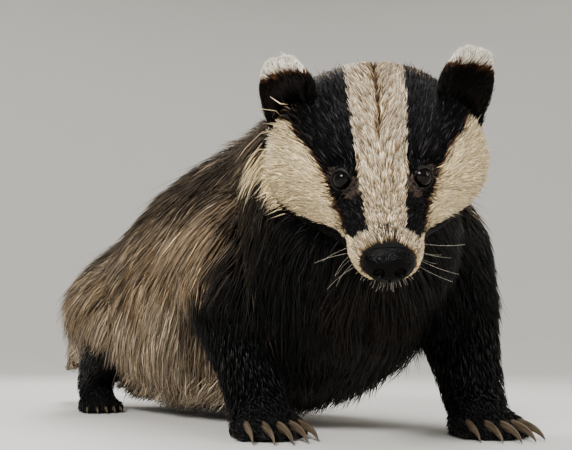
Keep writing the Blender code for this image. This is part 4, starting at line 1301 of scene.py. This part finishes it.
def nose_material():
    """Bare moist skin: small pebbles about 0.9 mm across, with a wet film that leaves the furrows duller."""
    made, tree, shader = new_material("moist pebbled nose skin", Specular_IOR_Level=0.06)
    place = add_node(tree, "ShaderNodeTexCoord").outputs["Object"]
    pebbles = add_node(tree, "ShaderNodeTexVoronoi", {"Vector": place, "Scale": 1150.0})
    soft = add_node(tree, "ShaderNodeTexNoise", {"Vector": place, "Scale": 260.0, "Detail": 4.0})
    colour = add_node(tree, "ShaderNodeValToRGB", {"Fac": soft.outputs["Fac"]})
    set_stops(colour.color_ramp, (0.0, "010101"), (1.0, "040303"))
    tree.links.new(colour.outputs["Color"], shader.inputs["Base Color"])
    rough = add_node(tree, "ShaderNodeMapRange", {
        "Value": pebbles.outputs["Distance"], "From Min": 0.15, "From Max": 0.65,
        "To Min": 0.12, "To Max": 0.26,
    })
    tree.links.new(rough.outputs["Result"], shader.inputs["Roughness"])
    dome = add_node(tree, "ShaderNodeMapRange", {
        "Value": pebbles.outputs["Distance"], "From Min": 0.0, "From Max": 0.8, "To Min": 1.0, "To Max": 0.0,
    }, interpolation_type="SMOOTHSTEP")
    bump = add_node(tree, "ShaderNodeBump", {
        "Height": dome.outputs["Result"], "Strength": 0.7, "Distance": 0.00025,
    })
    tree.links.new(bump.outputs["Normal"], shader.inputs["Normal"])
    return made


def eye_material():
    """A wet dark eye: near-black brown under a clear cornea, so that it shows as a sharp highlight."""
    made, tree, shader = new_material("wet cornea over dark iris", Roughness=0.05, Specular_IOR_Level=0.14)
    iris = add_node(tree, "ShaderNodeAttribute", attribute_name="iris")
    colour = add_node(tree, "ShaderNodeValToRGB", {"Fac": iris.outputs["Fac"]})
    set_stops(colour.color_ramp, (0.45, "040303"), (0.58, "0d0806"), (0.80, "090605"), (1.0, "080606"))
    tree.links.new(colour.outputs["Color"], shader.inputs["Base Color"])
    return made


def lid_material():
    """Bare black skin of the eyelids, with fine creases about 1 mm apart."""
    made, tree, shader = new_material("bare eyelid skin", Roughness=0.50, Specular_IOR_Level=0.2)
    place = add_node(tree, "ShaderNodeTexCoord").outputs["Object"]
    creases = add_node(tree, "ShaderNodeTexNoise", {"Vector": place, "Scale": 900.0, "Detail": 4.0})
    colour = add_node(tree, "ShaderNodeValToRGB", {"Fac": creases.outputs["Fac"]})
    set_stops(colour.color_ramp, (0.35, "040303"), (0.70, "14100e"))
    tree.links.new(colour.outputs["Color"], shader.inputs["Base Color"])
    bump = add_node(tree, "ShaderNodeBump", {
        "Height": creases.outputs["Fac"], "Strength": 0.5, "Distance": 0.0003,
    })
    tree.links.new(bump.outputs["Normal"], shader.inputs["Normal"])
    return made


def claw_material():
    """Worn horn: dull grey-brown with lengthwise grain."""
    made, tree, shader = new_material("worn claw horn", Roughness=0.50, Specular_IOR_Level=0.25)
    grain = add_node(tree, "ShaderNodeAttribute", attribute_name="grain").outputs["Vector"]
    stretch = add_node(tree, "ShaderNodeMapping", {"Vector": grain, "Scale": (9.0, 1.5, 30.0)})
    lines = add_node(tree, "ShaderNodeTexNoise", {
        "Vector": stretch.outputs["Vector"], "Scale": 1.0, "Detail": 3.0,
    })
    colour = add_node(tree, "ShaderNodeValToRGB", {"Fac": lines.outputs["Fac"]})
    set_stops(colour.color_ramp, (0.3, "2b231b"), (0.75, "6b5c48"))
    tree.links.new(colour.outputs["Color"], shader.inputs["Base Color"])
    bump = add_node(tree, "ShaderNodeBump", {
        "Height": lines.outputs["Fac"], "Strength": 0.4, "Distance": 0.0002,
    })
    tree.links.new(bump.outputs["Normal"], shader.inputs["Normal"])
    return made


def plain_material(name, hex_colour, roughness):
    made, _, shader = new_material(name, Roughness=roughness)
    shader.inputs["Base Color"].default_value = (*linear(hex_colour), 1)
    return made


# Pieces

def placed(obj, slot, material, *nodes):
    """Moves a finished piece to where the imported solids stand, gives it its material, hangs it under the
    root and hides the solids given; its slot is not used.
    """
    obj.data.transform(Matrix.Translation(SHIFT))
    obj.data.materials.clear()
    obj.data.materials.append(material)
    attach(obj, "root")
    if nodes:
        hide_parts(*nodes)
    return obj


def smooth_shaded(obj):
    obj.data.shade_smooth()
    return obj


def unwrapped(obj):
    """Lays the skin out flat, one patch for each side of its form."""
    obj.data.uv_layers.new(name="OFBake")
    bpy.context.view_layer.objects.active = obj
    obj.select_set(True)
    bpy.ops.object.mode_set(mode="EDIT")
    bpy.ops.mesh.select_all(action="SELECT")
    bpy.ops.uv.smart_project(angle_limit=math.radians(66), island_margin=0.002)
    bpy.ops.object.mode_set(mode="OBJECT")
    obj.select_set(False)
    return obj


def make_eye(side, word, materials):
    """One eyeball with a slightly raised cornea, and the bare rim of the lids round its almond opening."""
    centre, gaze = mirrored(EYE_AT, side), mirrored(EYE_GAZE, side)
    eye = ball(f"eyeball_{word}", centre, Vector((EYE_RADIUS,) * 3), 48, 32)
    facing = []
    for vertex in eye.data.vertices:
        offset = vertex.co - centre
        front = offset.normalized().dot(gaze)
        vertex.co = centre + offset * (1 + 0.035 * max(0.0, front - 0.75) / 0.25)
        facing.append(math.acos(max(-1.0, min(1.0, front))) / (math.pi / 3))
    eye.data.attributes.new("iris", "FLOAT", "POINT").data.foreach_set("value", np.clip(facing, 0, 1))
    placed(smooth_shaded(to_head(eye)), "eye", materials["eye"], f"eye_{word}")

    turn = eye_turn(side)
    count = 48
    points = []
    for wider, level in LID_RIM:
        for step in range(count):
            across, rise = opening_point(side, wider, 2 * math.pi * step / count)
            lift = math.sqrt(max(level**2 - across**2 - rise**2, (level * 0.3) ** 2))
            points.append(centre + turn @ Vector((across, rise, lift)))
    lids = object_from(f"eyelids_{word}", points, strips(len(LID_RIM), count))
    lids.modifiers.new("thickness", "SOLIDIFY").thickness = LID_THICKNESS
    fine = lids.modifiers.new("fine", "SUBSURF")
    fine.levels = fine.render_levels = 1
    placed(smooth_shaded(to_head(applied(lids))), "face_fur", materials["lid"])


def on_pad(x, z):
    """The point of the nose pad's front at that place across it and up it."""
    across, rise = x / NOSE_HALF.x, z / NOSE_HALF.z
    depth = math.sqrt(max(1 - across**2 - rise**2, 0.02))
    return NOSE_AT + Vector((x, -NOSE_HALF.y * depth, z))


def make_nose(materials):
    """The bare nose pad: a parting below, and nostrils that run out into slits which curl up its sides."""
    pad = ball("nose_pad", NOSE_AT, NOSE_HALF, 64, 40)
    for vertex in pad.data.vertices:
        offset = vertex.co - NOSE_AT
        across, rise = offset.x / NOSE_HALF.x, offset.z / NOSE_HALF.z
        offset.z *= 1.0 - (0.06 + 0.16 * across**2) * (rise < 0) - 0.13 * (1 - across**2) * (rise > 0)
        offset.x *= 1.0 + 0.10 * rise
        offset.y += 0.0012 * math.exp(-(across / 0.35) ** 2 - ((rise - 0.35) / 0.4) ** 2)
        vertex.co = NOSE_AT + offset
    for side, _ in SIDES:
        turn = tilted("Y", 24 * side) @ tilted("Z", 22 * side)
        boolean(pad, ball("hole", mirrored(NOSTRIL_AT, side), NOSTRIL_HALF, 24, 16, turn), "DIFFERENCE")
        beads = []
        for share in np.linspace(0, 1, 9):
            x, z = 0.0088 + 0.0040 * math.sin(share * 1.6), -0.0030 + 0.0062 * share**1.4
            bead_half = Vector((SLIT_HALF,) * 3) * (1.25 - 0.5 * share)
            beads.append(ball("bead", mirrored(on_pad(x, z), side), bead_half, 10, 8))
        slit = one_surface(joined("slit", beads), 0.0003, 1)
        boolean(pad, slit, "DIFFERENCE")
    groove = ball("groove", NOSE_AT + Vector((0, -0.0100, -0.0075)), Vector((0.0006, 0.0035, 0.0070)), 12, 12)
    boolean(pad, groove, "DIFFERENCE")
    one_surface(pad, 0.00042, 1)
    return placed(smooth_shaded(to_head(pad)), "nose", materials["nose"], "nose")


def make_claws(materials):
    """Five curved claws of horn on each paw, joined for each paw."""
    around, levels = 12, 12
    for name in PAWS:
        kind = name.split("_")[0]
        _, _, _, toe_radius, length, radius = PAW_SIZES[kind]
        horns, grain = [], []
        for toe, (x, y, heading) in enumerate(toe_row(kind)):
            height = max(length * CLAW_DROP + 0.0012, toe_radius * 0.8)
            place = Matrix.Translation(Vector((x, y + 0.001, height))) @ Matrix.Rotation(heading, 4, "Z")
            rings = []
            for level in range(levels):
                share = level / (levels - 1)
                bend = math.radians(46 * share - 12)
                forward = length * math.sin(share * CLAW_CURVE) / math.sin(CLAW_CURVE)
                centre = Vector((0, -forward, -length * CLAW_DROP * share**2))
                size = radius * max((1 - share) ** 0.6, 0.07)
                ring = []
                for i in range(around):
                    a = 2 * math.pi * i / around
                    out = size * math.sin(a)
                    flat = Vector((size * 0.62 * math.cos(a), -out * math.sin(bend), out * math.cos(bend)))
                    ring.append(place @ (centre + flat))
                    grain.append((i / around, share, toe / TOES))
                rings.append(ring)
            grain += [(0.5, 0.0, toe / TOES), (0.5, 1.0, toe / TOES)]
            horns.append(loft("claw", rings))
        claws = joined(f"claws_{name}", horns)
        claws.data.transform(paw_matrix(name))
        for vertex in claws.data.vertices:
            vertex.co.z = max(vertex.co.z, FLOOR_GAP)
        values = np.array(grain, np.float32).ravel()
        claws.data.attributes.new("grain", "FLOAT_VECTOR", "POINT").data.foreach_set("vector", values)
        placed(smooth_shaded(claws), "leg_fur", materials["claw"])


def whisker_tree(material):
    """Geometry nodes that set one curved, tapered hair on each root, turned to the root's heading."""
    tree = bpy.data.node_groups.new("whiskers", "GeometryNodeTree")
    face = tree.interface
    face.new_socket("Geometry", in_out="INPUT", socket_type="NodeSocketGeometry")
    for label, value in (("Length", 0.045), ("Thickness", 0.00022), ("Droop", 0.25), ("Seed", 1)):
        kind = "NodeSocketInt" if label == "Seed" else "NodeSocketFloat"
        face.new_socket(label, in_out="INPUT", socket_type=kind).default_value = value
    face.new_socket("Geometry", in_out="OUTPUT", socket_type="NodeSocketGeometry")
    given = add_node(tree, "NodeGroupInput")
    drop = add_node(tree, "ShaderNodeMath", {0: given.outputs["Droop"], 1: -1.0}, operation="MULTIPLY")
    end = add_node(tree, "ShaderNodeCombineXYZ", {"X": drop.outputs[0], "Z": 1.0})
    hair = add_node(tree, "GeometryNodeCurveQuadraticBezier", {
        "Resolution": 8, "Start": (0.0, 0.0, 0.0), "Middle": (0.0, 0.0, 0.55), "End": end.outputs["Vector"],
    })
    along = add_node(tree, "GeometryNodeSplineParameter")
    taper = add_node(tree, "ShaderNodeMapRange", {
        "Value": along.outputs["Factor"], "From Min": 0.0, "From Max": 1.0, "To Min": 1.0, "To Max": 0.12,
    })
    tapered = add_node(tree, "GeometryNodeSetCurveRadius", {
        "Curve": hair.outputs["Curve"], "Radius": taper.outputs["Result"],
    })
    thin = add_node(tree, "ShaderNodeMath", {0: given.outputs["Thickness"], 1: given.outputs["Length"]},
                    operation="DIVIDE")
    ring = add_node(tree, "GeometryNodeCurvePrimitiveCircle", {"Resolution": 5, "Radius": thin.outputs[0]})
    solid = add_node(tree, "GeometryNodeCurveToMesh", {
        "Curve": tapered.outputs["Curve"], "Profile Curve": ring.outputs["Curve"], "Fill Caps": True,
    })
    heading = add_node(tree, "GeometryNodeInputNamedAttribute", {"Name": "heading"}, data_type="FLOAT_VECTOR")
    turn = add_node(tree, "FunctionNodeAlignRotationToVector", {
        "Vector": heading.outputs["Attribute"],
    }, axis="Z")
    varied = add_node(tree, "FunctionNodeRandomValue", {2: 0.65, 3: 1.1, "Seed": given.outputs["Seed"]},
                      data_type="FLOAT")
    size = add_node(tree, "ShaderNodeMath", {
        0: given.outputs["Length"], 1: varied.outputs[1],
    }, operation="MULTIPLY")
    hairs = add_node(tree, "GeometryNodeInstanceOnPoints", {
        "Points": given.outputs["Geometry"], "Instance": solid.outputs["Mesh"],
        "Rotation": turn.outputs["Rotation"], "Scale": size.outputs[0],
    })
    real = add_node(tree, "GeometryNodeRealizeInstances", {"Geometry": hairs.outputs["Instances"]})
    dressed = add_node(tree, "GeometryNodeSetMaterial", {
        "Geometry": real.outputs["Geometry"], "Material": material,
    })
    add_node(tree, "NodeGroupOutput", {"Geometry": dressed.outputs["Geometry"]})
    return tree


def make_whiskers(name, tree, places, length, thickness, droop, seed, material):
    """Whiskers or bristles from roots and headings in the head's frame."""
    points = [p for p, _ in places]
    obj = object_from(name, points, [])
    headings = np.array([tuple(h) for _, h in places], np.float32)
    obj.data.attributes.new("heading", "FLOAT_VECTOR", "POINT").data.foreach_set("vector", headings.ravel())
    modifier = obj.modifiers.new("hairs", "NODES")
    modifier.node_group = tree
    sockets = {item.name: item.identifier for item in tree.interface.items_tree if item.in_out == "INPUT"}
    for label, value in (("Length", length), ("Thickness", thickness), ("Droop", droop), ("Seed", seed)):
        modifier[sockets[label]] = value
    applied(obj)
    return placed(smooth_shaded(to_head(obj)), "face_fur", material)


def whisker_places():
    """Rows of long whiskers along each upper lip."""
    chance = np.random.default_rng(WHISKER_SEED)
    places = []
    for side, _ in SIDES:
        for row in range(3):
            for place in range(2):
                y = -0.046 + place * 0.0075 + chance.uniform(-0.001, 0.001)
                z = -0.0180 - row * 0.0046
                x = (0.0180 + place * 0.0010) * side
                heading = Vector((side * 1.0, 0.10 + 0.16 * place, -0.25 - 0.25 * row))
                heading += Vector(chance.normal(0, 0.22, 3))
                places.append((Vector((x * 0.93, y, z)), heading.normalized()))
    return places


def bristle_places():
    """Short stiff hairs that hang from the lips below the nose."""
    chance = np.random.default_rng(BRISTLE_SEED)
    places = []
    count = 30
    for index in range(count):
        across = 0.0135 * (2 * index / (count - 1) - 1) + chance.uniform(-0.0004, 0.0004)
        y = -0.0585 + 45 * across**2 + chance.uniform(-0.001, 0.001)
        z = -0.0296 + 30 * across**2 + chance.uniform(-0.001, 0.001)
        heading = Vector((across * 75, -0.50, -1.0)) + Vector(chance.normal(0, 0.14, 3))
        places.append((Vector((across, y, z)), heading.normalized()))
    return places


# The stage

def make_camera():
    data = bpy.data.cameras.new("photograph's view")
    data.sensor_width = SENSOR_WIDTH
    data.lens = LENS_PIXELS * SENSOR_WIDTH / PICTURE_WIDTH
    data.clip_start = 0.01
    camera = linked("photograph's view", data)
    tilt = math.radians(CAMERA_UP_DEGREES)
    aim = CAMERA_ALONG * math.cos(tilt) + Vector((0, 0, math.sin(tilt)))
    camera.location = CAMERA_AT + SHIFT
    camera.rotation_euler = aim.to_track_quat("-Z", "Y").to_euler()
    bpy.context.scene.camera = camera


def add_light(name, place, target, size, watts):
    data = bpy.data.lights.new(name, "AREA")
    data.shape = "DISK"
    data.size = size
    data.energy = watts
    light = linked(name, data)
    light.location = place
    light.rotation_euler = (Vector(target) - Vector(place)).to_track_quat("-Z", "Y").to_euler()


def make_stage():
    """A pale floor that curves up behind the animal on every side, and soft studio light."""
    around = 96
    turns = [2 * math.pi * i / around for i in range(around)]
    points = [(radius * math.cos(a), radius * math.sin(a), height) for radius, height in FLOOR for a in turns]
    faces = [(len(points), i, (i + 1) % around) for i in range(around)]
    faces += [face[::-1] for face in strips(len(FLOOR), around)]
    floor = object_from("studio_floor", [*points, (0, 0, 0)], faces)
    floor.data.materials.append(plain_material("matt pale floor paint", "d9d6d0", 0.9))
    floor.data.shade_smooth()
    world = bpy.data.worlds.new("studio")
    bpy.context.scene.world = world
    world.use_nodes = True
    background = world.node_tree.nodes["Background"]
    background.inputs["Color"].default_value = (*linear("e8ebef"), 1)
    background.inputs["Strength"].default_value = 0.34
    for light in LIGHTS:
        add_light(*light)


def main():
    make_camera()
    make_stage()
    materials = {
        "skin": skin_material(),
        "face": hair_material("short dense face hair", 0.55, 0.05, 0.45),
        "body": hair_material("long coarse guard hair", 0.46, 0.17, 0.32),
        "legs": hair_material("short glossy black hair", 0.38, 0.17, 0.24),
        "nose": nose_material(),
        "eye": eye_material(),
        "lid": lid_material(),
        "claw": claw_material(),
        "whisker": plain_material("pale whisker", "a39a8b", 0.4),
    }
    parts = part_surfaces()
    skin_object = unwrapped(make_skin(parts))
    skin = Skin(skin_object, parts)
    for obj in parts.values():
        bpy.data.objects.remove(obj)
    amount = marking(skin.points, skin.weights, MARKING_SEED)
    names = list(COLOURS)
    under = np.ones((len(skin.points), 4), np.float32)
    under[:, :3] = amount @ np.array([linear(COLOURS[n][0]) for n in names]) * 0.6
    tint = skin_object.data.color_attributes.new("tint", "FLOAT_COLOR", "POINT")
    tint.data.foreach_set("color", under.ravel())
    for piece in make_coat(skin):
        region = COAT_PIECES["_".join(piece.name.split("_")[:2])][0]
        kind = {"head": "face", "ear": "face", "leg": "legs"}.get(region, "body")
        slot = {"head": "face_fur", "ear": "ear", "leg": "leg_fur"}.get(region, "body_coat")
        placed(piece, slot, materials[kind])
    flesh = ["head", "lower_jaw", "neck", "torso", "tail", "ear_left", "ear_right"]
    for _, word in SIDES:
        flesh += [f"{kind}{part}_{word}" for kind in ("fore", "hind") for part in ("leg", "paw")]
    placed(smooth_shaded(skin_object), "body_coat", materials["skin"], *flesh)
    for side, word in SIDES:
        make_eye(side, word, materials)
    make_nose(materials)
    make_claws(materials)
    tree = whisker_tree(materials["whisker"])
    make_whiskers("whiskers", tree, whisker_places(), 0.024, 0.00007, 0.20, 3, materials["whisker"])
    make_whiskers("lip_bristles", tree, bristle_places(), 0.0060, 0.00008, 0.12, 4, materials["whisker"])


main()
